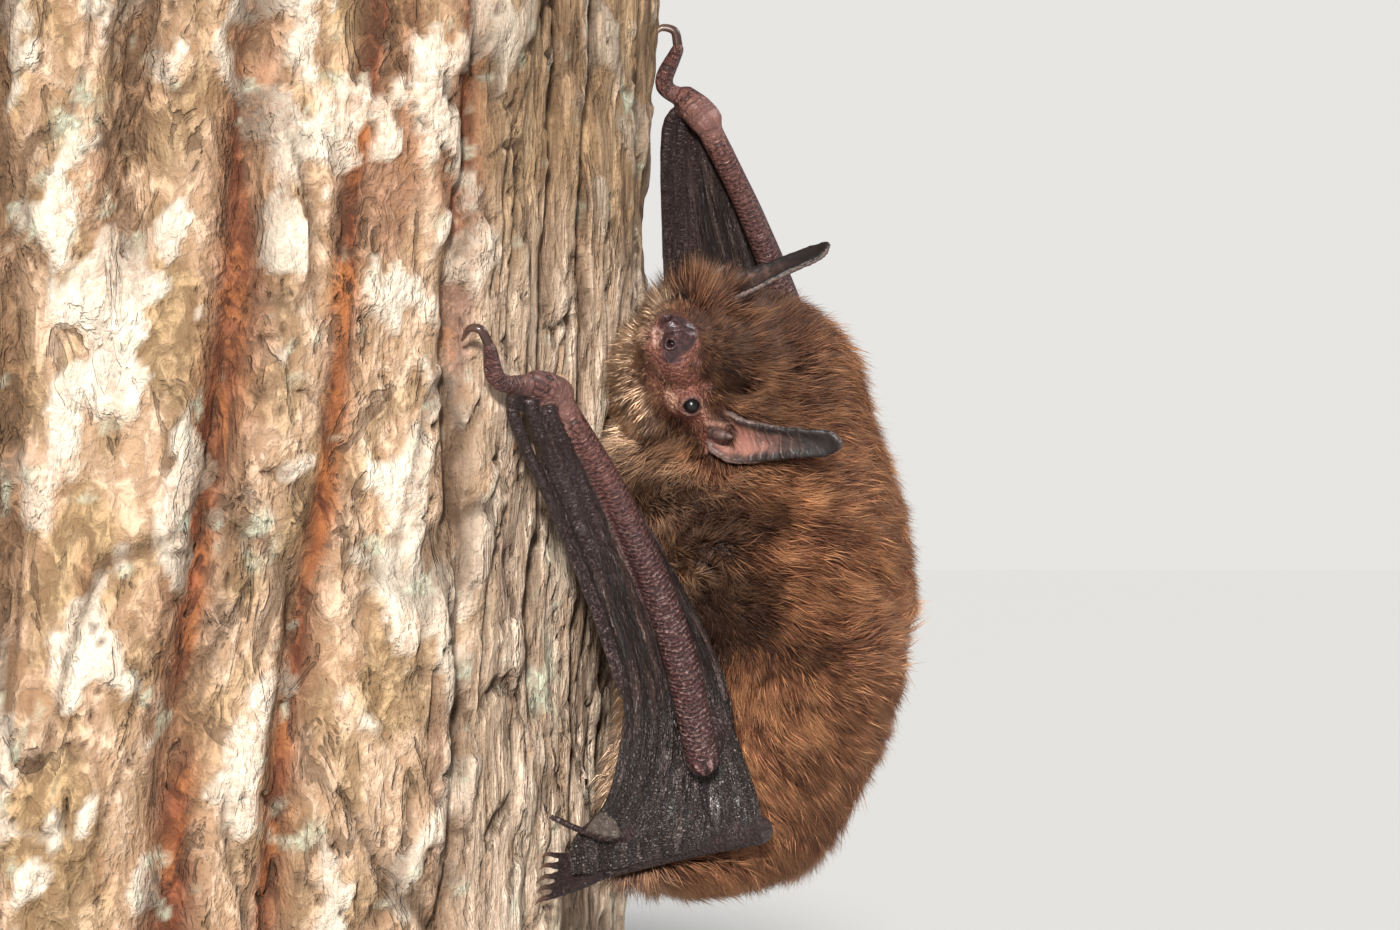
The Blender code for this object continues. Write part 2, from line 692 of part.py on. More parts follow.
def make_wing(side, arm, blockers, trunk_cutter, skin, nail):
    """One folded wing's arm, hand and fingers. Gives the cutters that its skin is trimmed by."""
    elbow = Vector(arm["elbow"])
    shoulder = Vector(arm["shoulder"])
    long, short = {"rings": 8, "sides": 2}, {"rings": 6, "sides": 1}
    _, forearm_cutter = limb(
        f"forearm_{side}", forearm_line(arm), FOREARM_RADII, skin, **long
    )
    inward = Vector((0.4, 3.2, 1.0) if side == "left" else (0, -0.6, 0))
    line = [shoulder, shoulder.lerp(elbow, 0.5) + inward, elbow.lerp(shoulder, 0.08) + inward]
    upper, upper_cutter = limb(f"upper_arm_{side}", line, UPPER_ARM_RADII, skin, rings=4, sides=2)
    largest_piece(cut(upper, [forearm_cutter, *blockers]))

    wrist = Vector(arm["wrist"])
    knuckle = Vector(arm["thumb"][0])
    line = [wrist + (wrist - knuckle) * 0.2, knuckle]
    hand, hand_cutter = limb(f"wrist_{side}", line, (1.75, 1.3), skin, rings=3, sides=2)
    largest_piece(cut(hand, [forearm_cutter, trunk_cutter]))
    thumb, thumb_cutter = limb(f"thumb_{side}", arm["thumb"], THUMB_RADII, skin, **short)
    largest_piece(cut(thumb, [hand_cutter, trunk_cutter]))
    claw, _ = limb(f"thumb_claw_{side}", arm["claw"], CLAW_RADII, nail, **short)
    largest_piece(cut(claw, [thumb_cutter, trunk_cutter]))

    cutters = []
    for name in ("finger_3", "finger_4", "finger_5"):
        finger, cutter = limb(f"{name}_{side}", arm[name], FINGER_RADII, skin, **short)
        largest_piece(cut(finger, [hand_cutter, forearm_cutter, *cutters]))
        cutters.append(cutter)
    tip, tip_cutter = limb(f"wing_tip_{side}", arm["tip"], TIP_RADII, skin, rings=9, sides=1)
    largest_piece(cut(tip, [*cutters, trunk_cutter]))
    return [forearm_cutter, hand_cutter, upper_cutter, tip_cutter, *cutters]


def make_leg(side, leg, blockers, trunk_cutter, skin):
    """The bare shank, and the foot with its five toes against the bark."""
    knee, ankle, toes = (Vector(leg[k]) for k in ("knee", "ankle", "toes"))
    shank = tube(f"leg_{side}", [knee, knee.lerp(ankle, 0.5), ankle], LEG_RADII, skin, rings=5, sides=2)
    shank = largest_piece(cut(shank, blockers))
    reach = toes - ankle
    spread = Vector(leg["spread"]).normalized()
    forms = [(ankle + reach * 0.35, 1.15)]
    shape = bmesh.new()
    for place, size in forms:
        bmesh.ops.create_uvsphere(
            shape, u_segments=12, v_segments=8, radius=size * MM,
            matrix=Matrix.Translation(place * MM),
        )
    for toe in range(5):
        along = (toe - 2) * 0.82
        start = ankle + reach * 0.4 + spread * along * 0.55
        end = toes + spread * along * 1.3
        for step in range(7):
            at = start.lerp(end, step / 6)
            bmesh.ops.create_uvsphere(
                shape, u_segments=8, v_segments=6, radius=(0.52 - 0.02 * step) * MM,
                matrix=Matrix.Translation(at * MM),
            )
    mesh = bpy.data.meshes.new(f"foot_{side}")
    shape.to_mesh(mesh)
    shape.free()
    foot = fuse(add_object(f"foot_{side}", mesh, skin), 0.22, 2, 300)
    foot = largest_piece(cut(foot, [grown(shank), trunk_cutter]))
    return shank, foot


def tail_surface(across, along):
    """Tail skin between the shanks, from near the rump to its free edge against the bark."""
    ankles = [Vector(leg["ankle"]) for leg in (LEFT_LEG, RIGHT_LEG)]
    knees = [Vector(leg["knee"]) for leg in (LEFT_LEG, RIGHT_LEG)]
    left, right = (knee.lerp(ankle, 0.62 + along * 0.35) for knee, ankle in zip(knees, ankles))
    tail = spline_through([Vector(p) for p in TAIL], 33)[int(round(along * 32))]
    path = spline_through(
        [left + Vector((0.3, 1.6, -1.0)), tail + Vector((-0.4, -7.5, 0.6)),
         tail + Vector((0, 0, 0.2)), tail + Vector((0.2, 7.5, 1.0)),
         right + Vector((0.1, -1.6, -1.0))], 33)
    at = across * 32
    low = min(int(at), 31)
    return path[low].lerp(path[low + 1], at - low)


# ---------------------------------------------------------------- build

clear_scene()
PARTS = collection("brown_bat")
CUTTERS = collection("cutters", hidden=True)

fur = finish_material("fur", (0.33, 0.17, 0.09), 0.75)
bare_skin = finish_material("wing_skin", (0.10, 0.06, 0.06), 0.45)
ear_skin = finish_material("ear_skin", (0.16, 0.09, 0.07), 0.45)
horn = finish_material("claw_horn", (0.30, 0.24, 0.20), 0.3)
eye_black = finish_material("eye_black", (0.01, 0.01, 0.01), 0.05)
bark = finish_material("bark", (0.42, 0.31, 0.21), 0.9)
stand_black = finish_material("stand_black", (0.03, 0.03, 0.03), 0.4)

stand_base(stand_black)
stand_rods(stand_black)
trunk = perch_trunk(bark)
trunk_cutter = grown(trunk)

head = make_head(fur)
head = largest_piece(cut(head, [trunk_cutter]))
body = make_body(head, trunk, fur)
body_cutters = [grown(piece) for piece in body.values()]
head_cutter = grown(head)
head = make_eyes(head, eye_black)
make_ears(head, body_cutters, ear_skin)

legs = []
for side, leg in (("left", LEFT_LEG), ("right", RIGHT_LEG)):
    legs += make_leg(side, leg, body_cutters, trunk_cutter, bare_skin)
leg_cutters = [grown(piece) for piece in legs]

for side, arm, surface in (
    ("left", LEFT_ARM, left_membrane), ("right", RIGHT_ARM, right_membrane)
):
    blockers = [*body_cutters, head_cutter]
    cutters = make_wing(side, arm, blockers, trunk_cutter, bare_skin, horn)
    membrane = sheet(f"wing_membrane_{side}", surface, 6, 12, MEMBRANE_THICK, bare_skin)
    membrane = largest_piece(cut(membrane, [*cutters, *blockers, *leg_cutters, trunk_cutter]))
    thinned(membrane, MEMBRANE_TRIANGLES)

tail = tube("tail", TAIL, TAIL_RADII, bare_skin, rings=7, sides=1)
tail = largest_piece(cut(tail, [*body_cutters, trunk_cutter]))
tail_skin = sheet("tail_membrane", tail_surface, 12, 6, MEMBRANE_THICK, bare_skin)
largest_piece(cut(tail_skin, [grown(tail), *body_cutters, *leg_cutters, trunk_cutter]))
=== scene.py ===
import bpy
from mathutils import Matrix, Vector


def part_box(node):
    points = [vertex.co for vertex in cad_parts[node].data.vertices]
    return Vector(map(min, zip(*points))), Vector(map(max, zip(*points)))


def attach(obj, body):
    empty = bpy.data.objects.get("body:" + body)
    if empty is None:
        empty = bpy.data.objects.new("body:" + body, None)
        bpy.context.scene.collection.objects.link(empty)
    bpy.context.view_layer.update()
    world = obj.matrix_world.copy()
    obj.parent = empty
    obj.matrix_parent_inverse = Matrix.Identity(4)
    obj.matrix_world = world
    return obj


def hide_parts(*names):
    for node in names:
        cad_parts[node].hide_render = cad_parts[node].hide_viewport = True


bl_info = {
    "name": "Brown Bat on a Trunk",
    "version": (1, 0, 0),
    "blender": (4, 5, 0),
    "location": "View3D > Sidebar > Bat",
    "description": "Dresses the solid model of a clinging bat with skin, coat, eyes, claws and bark",
    "category": "Add Mesh",
}

import math
from contextlib import contextmanager

import bmesh
import bpy
import numpy as np
from bpy.props import FloatProperty, FloatVectorProperty, IntProperty, PointerProperty
from mathutils import Matrix, Vector, bvhtree, kdtree, noise

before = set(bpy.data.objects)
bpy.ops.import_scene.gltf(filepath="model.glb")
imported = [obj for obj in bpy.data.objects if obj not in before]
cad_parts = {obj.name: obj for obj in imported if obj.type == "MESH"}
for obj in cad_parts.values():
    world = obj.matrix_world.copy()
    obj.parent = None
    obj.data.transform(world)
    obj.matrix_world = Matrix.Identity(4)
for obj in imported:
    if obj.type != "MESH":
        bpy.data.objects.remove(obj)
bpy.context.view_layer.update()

MM = 0.001

# ---------------------------------------------------------------- skeleton, in millimetres

LOG_RADIUS = 48.5
LOG_AXIS_X = -8.0
LOG_LEAN = 0.045
LOG_MIDDLE = 72.0
LOG_HALF = 50.0
CLING_ANGLE = math.radians(15.0)
SAWN_RINGS = 16
SAWN_EDGE = 1.5

# Furrows of the bark: degrees from +X towards -Y at mid-height, drift at the top, sway, the height
# where the sway is greatest, half width, depth, and the heights between which the furrow is open.
BACK_FURROWS = [
    (-234 + 30 * i, 3 * math.cos(2.4 * i), 1.6, 40 + 11 * i % 50, 1.6, 1.9 + 0.4 * math.sin(i), 0, 150)
    for i in range(8)
]
FRONT_FURROWS = [
    (8.0, 1.0, 0.8, 60.0, 1.0, 1.1, 0.0, 150.0),
    (21.5, 0.6, 0.7, 95.0, 0.9, 1.2, 0.0, 150.0),
    (29.5, -1.0, 0.7, 80.0, 0.9, 1.3, 46.0, 150.0),
    (44.5, 1.2, 1.2, 86.0, 1.3, 1.8, 0.0, 150.0),
    (59.5, -4.0, 0.6, 50.0, 1.4, 1.6, 0.0, 76.0),
    (71.0, -4.0, 0.7, 50.0, 2.0, 2.2, 0.0, 150.0),
    (80.5, -1.0, 0.6, 100.0, 1.7, 2.3, 84.0, 150.0),
    (92.0, 1.0, 1.0, 40.0, 1.5, 1.9, 0.0, 150.0),
]
FURROWS = BACK_FURROWS + FRONT_FURROWS
FURROW_FADE = 9.0

HEAD_CENTRE = np.array((46.2, -22.4, 80.3))
NOSE_WAY = np.array((-0.181, -0.912, 0.333))
CROWN_WAY = np.array((0.975, -0.120, 0.150))
HEAD_BALL = (-1.0, 0.0, 0.0)
EYE_PLACE = (3.55, 4.75, -0.25)
EYE_WAY = (0.62, 0.76, 0.2)
EYE_RADIUS = 0.68

SIDES = {"left": 1, "right": -1}
LEFT_ARM = {
    "shoulder": (51.5, -16.0, 68.0),
    "elbow": (46.7, -29.6, 47.4),
    "wrist": (34.3, -30.6, 78.0),
    "bow": (3.6, -0.6, 1.4),
    "thumb": [(33.0, -32.2, 78.7), (29.9, -34.6, 78.9), (29.2, -35.6, 81.6)],
    "claw": [(29.1, -35.7, 82.0), (28.5, -36.3, 83.1), (27.6, -36.0, 83.2), (26.9, -34.8, 82.3)],
    "finger_3": [(30.9, -33.2, 76.8), (34.5, -31.8, 68.0), (37.5, -30.6, 60.5), (40.1, -29.2, 52.8)],
    "finger_4": [(32.7, -32.6, 76.4), (36.0, -31.0, 68.0), (38.9, -29.8, 60.5), (41.4, -28.5, 51.5)],
    "finger_5": [(34.3, -32.0, 75.8), (37.6, -30.4, 67.5), (40.4, -29.2, 60.0), (42.7, -28.0, 50.5)],
    "tip": [(40.7, -27.6, 51.4), (41.8, -27.2, 46.5), (41.6, -27.8, 42.8), (39.6, -29.7, 40.9),
            (37.0, -30.0, 41.4), (34.2, -29.6, 42.6)],
}
RIGHT_ARM = {
    "shoulder": (54.0, -11.0, 73.0),
    "elbow": (58.6, 0.8, 69.6),
    "wrist": (46.7, 3.6, 103.4),
    "bow": (2.9, 1.0, 0.8),
    "thumb": [(45.3, 3.9, 104.9), (43.2, 3.7, 106.2), (44.5, 3.3, 109.4)],
    "claw": [(44.5, 3.3, 109.8), (44.2, 3.2, 111.0), (43.1, 3.1, 111.3), (42.3, 2.8, 110.6)],
    "finger_3": [(43.6, 5.0, 102.4), (43.5, 6.0, 92.0), (44.0, 7.0, 82.0), (44.8, 7.6, 72.0)],
    "finger_4": [(44.9, 5.4, 101.6), (44.8, 6.8, 91.0), (45.5, 7.8, 81.0), (46.6, 8.2, 71.0)],
    "finger_5": [(46.1, 5.6, 101.0), (46.1, 7.2, 90.5), (47.0, 8.0, 80.0), (48.4, 8.2, 70.0)],
    "tip": [(46.0, 7.7, 70.2), (46.0, 7.4, 63.0), (45.2, 6.8, 56.0), (43.8, 6.4, 50.0)],
}
LEFT_LEG = {
    "knee": (51.4, -26.2, 41.3),
    "ankle": (38.9, -27.8, 38.2),
    "toes": (33.9, -26.2, 37.4),
    "spread": (0.1, 0.6, 0.8),
}
RIGHT_LEG = {
    "knee": (57.0, -6.7, 43.4),
    "ankle": (46.4, 2.4, 40.8),
    "toes": (41.7, 4.4, 39.6),
    "spread": (-0.1, -0.6, 0.8),
}
ARMS = {"left": LEFT_ARM, "right": RIGHT_ARM}
LEGS = {"left": LEFT_LEG, "right": RIGHT_LEG}
TAIL = [(51.0, -13.6, 36.2), (48.2, -13.0, 35.3), (45.2, -12.2, 35.0), (42.4, -11.4, 35.6)]

LEFT_WING_ROWS = [
    ((31.3, -32.8, 78.2), (32.8, -32.0, 77.8), (34.4, -31.0, 77.5), (35.9, -30.2, 77.3)),
    ((34.5, -31.4, 69.4), (36.8, -30.8, 69.4), (39.0, -30.0, 69.2), (41.0, -29.0, 69.0)),
    ((37.4, -30.4, 62.0), (39.8, -29.9, 62.0), (42.4, -29.0, 61.8), (45.2, -28.2, 61.6)),
    ((39.8, -29.8, 54.4), (42.2, -29.0, 54.4), (45.0, -27.6, 54.6), (48.4, -27.2, 54.8)),
    ((39.9, -30.0, 49.4), (42.6, -29.0, 49.2), (46.0, -27.4, 49.0), (49.6, -26.6, 49.2)),
    ((38.6, -29.8, 44.0), (41.8, -29.0, 44.4), (46.2, -27.6, 45.0), (50.8, -26.6, 45.8)),
    ((35.8, -28.9, 40.6), (40.2, -28.9, 41.2), (46.2, -28.0, 42.0), (51.6, -26.8, 43.2)),
    ((35.7, -28.5, 37.6), (40.2, -28.6, 38.4), (46.2, -27.8, 39.8), (51.4, -26.9, 41.4)),
]
RIGHT_WING_ROWS = [
    ((43.8, 5.2, 103.2), (45.0, 5.4, 102.8), (46.4, 5.2, 102.4), (47.8, 4.6, 102.0)),
    ((43.9, 6.6, 91.0), (46.4, 7.0, 90.6), (49.4, 6.2, 90.2), (52.4, 4.6, 89.8)),
    ((44.5, 7.8, 80.0), (47.8, 8.0, 79.6), (52.0, 6.4, 79.2), (56.4, 3.2, 78.8)),
    ((45.4, 8.4, 70.0), (49.2, 8.0, 69.0), (53.4, 5.4, 68.0), (57.4, 0.4, 66.8)),
    ((45.6, 7.8, 60.0), (49.6, 5.8, 59.0), (53.2, 2.6, 58.2), (56.8, -2.2, 57.6)),
    ((45.2, 6.6, 51.0), (48.8, 4.4, 50.6), (52.4, 0.8, 50.2), (55.8, -3.8, 50.2)),
    ((44.6, 4.6, 42.0), (48.6, 1.8, 42.8), (52.6, -1.8, 43.8), (56.0, -5.0, 45.2)),
]

WING_LOBE = [
    ((37.1, -30.3, 41.8), (38.4, -30.3, 41.3), (39.8, -30.1, 40.9)),
    ((37.4, -30.4, 42.2), (38.5, -30.5, 42.1), (39.7, -30.3, 41.8)),
    ((37.9, -30.2, 42.6), (38.5, -30.3, 42.9), (39.3, -30.1, 42.4)),
]

FOREARM_RADII = (1.15, 1.1, 1.2, 1.35, 1.45, 1.5, 1.4)
UPPER_ARM_RADII = (2.2, 2.0, 1.6, 1.3, 1.15)
WRIST_RADII = (1.55, 1.5, 1.25)
FINGER_RADII = (0.62, 0.6, 0.46, 0.42, 0.38)
TIP_RADII = (0.42, 0.4, 0.38, 0.36, 0.34, 0.3)
THUMB_RADII = (0.95, 0.75, 0.85, 0.6)
CLAW_RADII = (0.45, 0.42, 0.34, 0.12)
TOE_CLAW_RADII = (0.24, 0.21, 0.13, 0.04)
LEG_RADII = (1.3, 1.0, 0.85, 0.8)
TOE_RADII = (0.55, 0.4, 0.44, 0.36, 0.38, 0.3)
TAIL_RADII = (0.85, 0.65, 0.5, 0.35)

# Points across and along the thin skins, and how thick they and the flesh's melting cells are.
WING_GRID = (90, 190)
LOBE_GRID = (30, 40)
TAIL_GRID = (110, 24)
EAR_GRID = (40, 90)
SHEET_THICK = 0.52
FLESH_VOXEL = 0.42

# The stage: the middle of the view, half the floor's side, and the camera's sensor width.
VIEW_CENTRE = (46.5, 72.0)
FLOOR_HALF = 3000.0
SENSOR_WIDTH = 36.0


# ---------------------------------------------------------------- settings

def length_setting(name, text, value):
    return FloatProperty(name=name, description=text, default=value * MM, min=0.0,
                         unit="LENGTH", precision=5)


def colour_setting(name, text, value):
    return FloatVectorProperty(name=name, description=text, default=value, size=3, min=0.0,
                               max=1.0, subtype="COLOR")


def count_setting(name, text, value, least, most):
    return IntProperty(name=name, description=text, default=value, min=least, max=most)


class BatSkinSettings(bpy.types.PropertyGroup):
    grain: length_setting("Skin grain", "Size of the skin's mesh cells", 0.255)
    body_depth: length_setting("Body coat depth", "How far the skin lies inside the coat", 1.75)
    face_pink: colour_setting("Face", "Bare skin round the eye and muzzle", (0.215, 0.072, 0.050))
    face_red: colour_setting("Flush", "Redder blotches of the face", (0.090, 0.022, 0.019))
    nose_purple: colour_setting("Nose", "Skin of the nose pad", (0.024, 0.010, 0.011))
    lid_pale: colour_setting("Eyelid", "Pale rim round the eye", (0.30, 0.165, 0.125))
    ear_flesh: colour_setting("Ear base", "Flesh-coloured inner part of the ear", (0.36, 0.160, 0.120))
    ear_grey: colour_setting("Ear", "Greyish brown of the ear", (0.075, 0.040, 0.033))
    ear_dark: colour_setting("Ear tip", "Dark tip and rim of the ear", (0.014, 0.009, 0.008))
    arm_maroon: colour_setting("Arm", "Skin along forearm and wrist", (0.046, 0.014, 0.014))
    finger_brown: colour_setting("Fingers", "Skin along fingers and toes", (0.052, 0.032, 0.029))
    wing_dark: colour_setting("Wing", "Folded wing skin", (0.010, 0.0065, 0.006))
    # painted highlight: the paler tops of the wing's folds
    wing_fold_sheen: colour_setting("Wing folds", "Paler tops of the wing's folds", (0.165, 0.118, 0.105))


class BatCoatSettings(bpy.types.PropertyGroup):
    tufts: count_setting("Tufts", "Bent tufts over head and body", 34000, 1000, 60000)
    hairs: count_setting("Fine hairs", "Fine straight hairs over the tufts", 252000, 1000, 300000)
    length: length_setting("Tuft length", "Length of a tuft on the back", 3.1)
    width: length_setting("Tuft width", "Thickness of a tuft near its root", 0.12)
    # partly the underfur's own dark brown, partly painted shade deep among the hairs
    underfur_and_shade: colour_setting("Roots", "Dark underfur", (0.034, 0.013, 0.006))
    back_brown: colour_setting("Back", "Warm brown of back and flank", (0.330, 0.125, 0.060))
    # partly the hairs' own lighter ends, partly painted highlight on the tips
    gold_tips_and_sheen: colour_setting("Tips", "Lighter ends of the back's hairs", (0.88, 0.465, 0.228))
    throat_buff: colour_setting("Throat and belly", "Pale fur below", (0.95, 0.68, 0.48))
    crown_brown: colour_setting("Crown", "Duller brown of the crown", (0.150, 0.058, 0.031))
    rump_orange: colour_setting("Rump", "Lighter fur of the rump", (0.42, 0.175, 0.090))


class TrunkSettings(bpy.types.PropertyGroup):
    columns: count_setting("Columns", "Mesh columns round the bark", 580, 60, 1200)
    rows: count_setting("Rows", "Mesh rows up the bark", 184, 20, 600)
    relief: length_setting("Bark relief", "Depth of the fine bark plates", 1.0)
    bark_tan: colour_setting("Bark", "Main greyish tan", (0.66, 0.44, 0.28))
    bark_cream: colour_setting("Flakes", "Pale outer flakes", (0.95, 0.83, 0.68))
    bark_olive: colour_setting("Weathered bark", "Olive-brown patches", (0.50, 0.33, 0.165))
    bark_rust: colour_setting("Rust streaks", "Orange-brown inner bark", (0.26, 0.085, 0.040))
    bark_dark: colour_setting("Fissures", "Dark cracks", (0.085, 0.048, 0.028))
    lichen: colour_setting("Lichen", "Pale mint crust", (0.66, 0.68, 0.52))
    sawn: colour_setting("Sawn wood", "End grain of the cut faces", (0.62, 0.43, 0.25))


class StageSettings(bpy.types.PropertyGroup):
    distance: length_setting("Camera distance", "From the camera to the trunk's axis plane", 450.0)
    view_width: length_setting("View width", "Width seen at the axis plane", 125.0)
    floor: colour_setting("Floor", "Pale floor", (0.80, 0.79, 0.77))
    ambient: colour_setting("Soft light", "Light from all round", (0.24, 0.24, 0.25))
    key: FloatProperty(name="Key light", description="Strength of the front light", default=5.0,
                       min=0.0, max=20.0)


# ---------------------------------------------------------------- frames and curves

def unit(v):
    v = np.asarray(v, float)
    return v / np.maximum(np.linalg.norm(v, axis=-1, keepdims=True), 1e-9)


def head_ways():
    forward = unit(NOSE_WAY)
    crown = unit(CROWN_WAY - forward * (CROWN_WAY @ forward))
    return np.array((forward, np.cross(crown, forward), crown))


def cling_ways():
    out = np.array((math.cos(CLING_ANGLE), -math.sin(CLING_ANGLE), 0.0))
    left = np.array((-math.sin(CLING_ANGLE), -math.cos(CLING_ANGLE), 0.0))
    return np.array((out, left, (0.0, 0.0, 1.0)))


HEAD = (HEAD_CENTRE, head_ways())
BODY = (np.array((LOG_AXIS_X, 0.0, 0.0)), cling_ways())


def into(frame_of, points):
    """World points in a part's own directions."""
    origin, ways = frame_of
    return (np.asarray(points, float) - origin) @ ways.T


def out_of(frame_of, points):
    origin, ways = frame_of
    return np.asarray(points, float) @ ways + origin


def ease(low, high, value):
    """0 below low, 1 above high, smooth between."""
    t = np.clip((value - low) / (high - low), 0.0, 1.0)
    return t * t * (3 - 2 * t)


def mix(a, b, share):
    return a + (b - a) * share


def hump(value, centre, width):
    """1 at the centre, fading to 0 over the width."""
    return np.exp(-((value - centre) / width) ** 2)


def distance(points, centre, size=1.0):
    """How far each point is from a place, measured in the given size or sizes."""
    return np.linalg.norm((points - np.array(centre)) / size, axis=1)


def spline_through(points, count):
    """Points at even steps of a Catmull-Rom curve through the given ones."""
    points = np.asarray(points, float)
    ends = np.vstack((points[0] * 2 - points[1], points, points[-1] * 2 - points[-2]))
    at = np.linspace(0, len(points) - 1, count)
    span = np.minimum(at.astype(int), len(points) - 2)
    t = (at - span)[:, None]
    a, b, c, d = (ends[span + i] for i in range(4))
    return (b * 2 + (c - a) * t + (a * 2 - b * 5 + c * 4 - d) * t * t
            + (b * 3 - a - c * 3 + d) * t ** 3) * 0.5


def stepped(values, count):
    return np.interp(np.linspace(0, 1, count), np.linspace(0, 1, len(values)), values)


def along_line(points, line, radii):
    """Distance outside a limb's surface, and how far along the limb, in millimetres."""
    best = np.full(len(points), 1e9)
    along = np.zeros(len(points))
    run = 0.0
    for i in range(len(line) - 1):
        a, way = line[i], line[i + 1] - line[i]
        size = max(np.linalg.norm(way), 1e-6)
        t = np.clip((points - a) @ way / size ** 2, 0, 1)
        gap = np.linalg.norm(points - a - t[:, None] * way, axis=1) - mix(radii[i], radii[i + 1], t)
        closer = gap < best
        best = np.where(closer, gap, best)
        along = np.where(closer, run + t * size, along)
        run += size
    return best, along


def soft_noise(points, size, seed):
    """Smooth noise of about -1 to 1 at every point."""
    shift = Vector((seed, seed * 1.7, -seed * 0.6))
    return np.array([noise.noise(Vector(p) / size + shift) for p in points])


def nearest_of(places, points):
    """Which of the places is nearest to each point, and how far it is."""
    tree = kdtree.KDTree(len(places))
    for i, place in enumerate(places.tolist()):
        tree.insert(place, i)
    tree.balance()
    found = [tree.find(p) for p in points.tolist()]
    return np.array([f[1] for f in found]), np.array([f[2] for f in found])


def placed(name, data):
    """A new object in the scene that holds the given data."""
    obj = bpy.data.objects.new(name, data)
    bpy.context.scene.collection.objects.link(obj)
    return obj


# ---------------------------------------------------------------- mesh making

def mesh_from(name, verts, faces):
    """An object from arrays of corners and of equal-sided faces, in millimetres."""
    mesh = bpy.data.meshes.new(name)
    verts, faces = np.asarray(verts, np.float32) * MM, np.asarray(faces, np.int32)
    mesh.vertices.add(len(verts))
    mesh.vertices.foreach_set("co", verts.ravel())
    mesh.loops.add(faces.size)
    mesh.loops.foreach_set("vertex_index", faces.ravel())
    mesh.polygons.add(len(faces))
    mesh.polygons.foreach_set("loop_start", np.arange(0, faces.size, faces.shape[1], dtype=np.int32))
    mesh.update(calc_edges=True)
    mesh.validate()
    mesh.shade_smooth()
    return placed(name, mesh)


def at_corners(mesh, what):
    found = np.empty(len(mesh.vertices) * 3, np.float32)
    mesh.vertices.foreach_get(what, found)
    return found.reshape(-1, 3).astype(float)


def corners(mesh):
    return at_corners(mesh, "co") / MM


@contextmanager
def shaping(mesh):
    """The mesh opened for editing, and written back at the end."""
    shape = bmesh.new()
    shape.from_mesh(mesh)
    yield shape
    shape.to_mesh(mesh)
    shape.free()


def move_corners(mesh, points):
    mesh.vertices.foreach_set("co", (np.asarray(points) * MM).astype(np.float32).ravel())
    mesh.update()


def triangles(mesh):
    mesh.calc_loop_triangles()
    found = np.empty(len(mesh.loop_triangles) * 3, np.int32)
    mesh.loop_triangles.foreach_get("vertices", found)
    return found.reshape(-1, 3)


def store(mesh, name, values):
    """A named number on each corner, for materials to read."""
    layer = mesh.attributes.new(name, "FLOAT", "POINT")
    layer.data.foreach_set("value", np.asarray(values, np.float32))


def applied(obj):
    """The object with its modifiers made into its mesh."""
    bpy.context.view_layer.update()
    evaluated = obj.evaluated_get(bpy.context.evaluated_depsgraph_get())
    mesh = bpy.data.meshes.new_from_object(evaluated)
    old = obj.data
    obj.modifiers.clear()
    obj.data = mesh
    bpy.data.meshes.remove(old)
    return obj


def joined(name, objs):
    """One object out of several, none of which has modifiers left."""
    whole = bpy.data.meshes.new(name)
    with shaping(whole) as shape:
        for obj in objs:
            mesh = obj.data
            shape.from_mesh(mesh)
            bpy.data.objects.remove(obj, do_unlink=True)
            bpy.data.meshes.remove(mesh)
    return placed(name, whole)


def melted(obj, voxel, rounds):
    """Melts overlapping closed forms into one even skin."""
    remesh = obj.modifiers.new("Melt", "REMESH")
    remesh.mode, remesh.voxel_size = "VOXEL", voxel
    smooth = obj.modifiers.new("Smooth", "SMOOTH")
    smooth.factor, smooth.iterations = 0.5, rounds
    return applied(obj)


def ball_forms(name, frame_of, forms):
    """Closed ellipsoids at the given places of a part's own frame."""
    mesh = bpy.data.meshes.new(name)
    turn = Matrix([list(w) for w in frame_of[1]]).transposed().to_4x4()
    with shaping(mesh) as shape:
        for centre, half in forms:
            place = Matrix.Translation(Vector(out_of(frame_of, centre)) * MM)
            stretch = Matrix.Diagonal((*(h * MM for h in half), 1.0))
            bmesh.ops.create_icosphere(shape, subdivisions=3, radius=1.0,
                                       matrix=place @ turn @ stretch)
    return placed(name, mesh)


def ways_round(side, up, angles):
    """The ways out from each step of a line, at the given angles round it."""
    return side[:, None] * np.cos(angles)[None, :, None] + up[:, None] * np.sin(angles)[None, :, None]


def ring_faces(rings, sides):
    """Four-sided faces between closed rings of corners."""
    at = np.arange(rings * sides).reshape(rings, sides)
    after = np.roll(at, -1, 1)
    return np.stack((at[:-1], after[:-1], after[1:], at[1:]), -1).reshape(-1, 4)


def fill_holes(shape):
    bmesh.ops.holes_fill(shape, edges=[e for e in shape.edges if e.is_boundary])


def tube(name, line, radii, sides=14, flat=1.0):
    """A closed limb along a line of points, its ends rounded."""
    line, radii = np.asarray(line, float), np.asarray(radii, float)
    turns = np.linspace(0, math.pi / 2, 4)[1:]
    head, tail = ([(end + unit(end - inner) * radius * math.sin(t), radius * math.cos(t) + 0.01)
                   for t in turns] for end, inner, radius in (
                       (line[0], line[1], radii[0]), (line[-1], line[-2], radii[-1])))
    line = np.vstack([[p for p, _ in head[::-1]], line, [p for p, _ in tail]])
    radii = np.concatenate([[r for _, r in head[::-1]], radii, [r for _, r in tail]])
    ways = unit(np.gradient(line, axis=0))
    side = unit(np.cross(ways, (0.31, -0.83, 0.47)))
    angles = np.linspace(0, 2 * math.pi, sides, endpoint=False)
    ring = ways_round(side, np.cross(side, ways) * flat, angles)
    verts = (line[:, None] + ring * radii[:, None, None]).reshape(-1, 3)
    obj = mesh_from(name, verts, ring_faces(len(line), sides))
    with shaping(obj.data) as shape:
        fill_holes(shape)
        bmesh.ops.recalc_face_normals(shape, faces=shape.faces)
    return obj


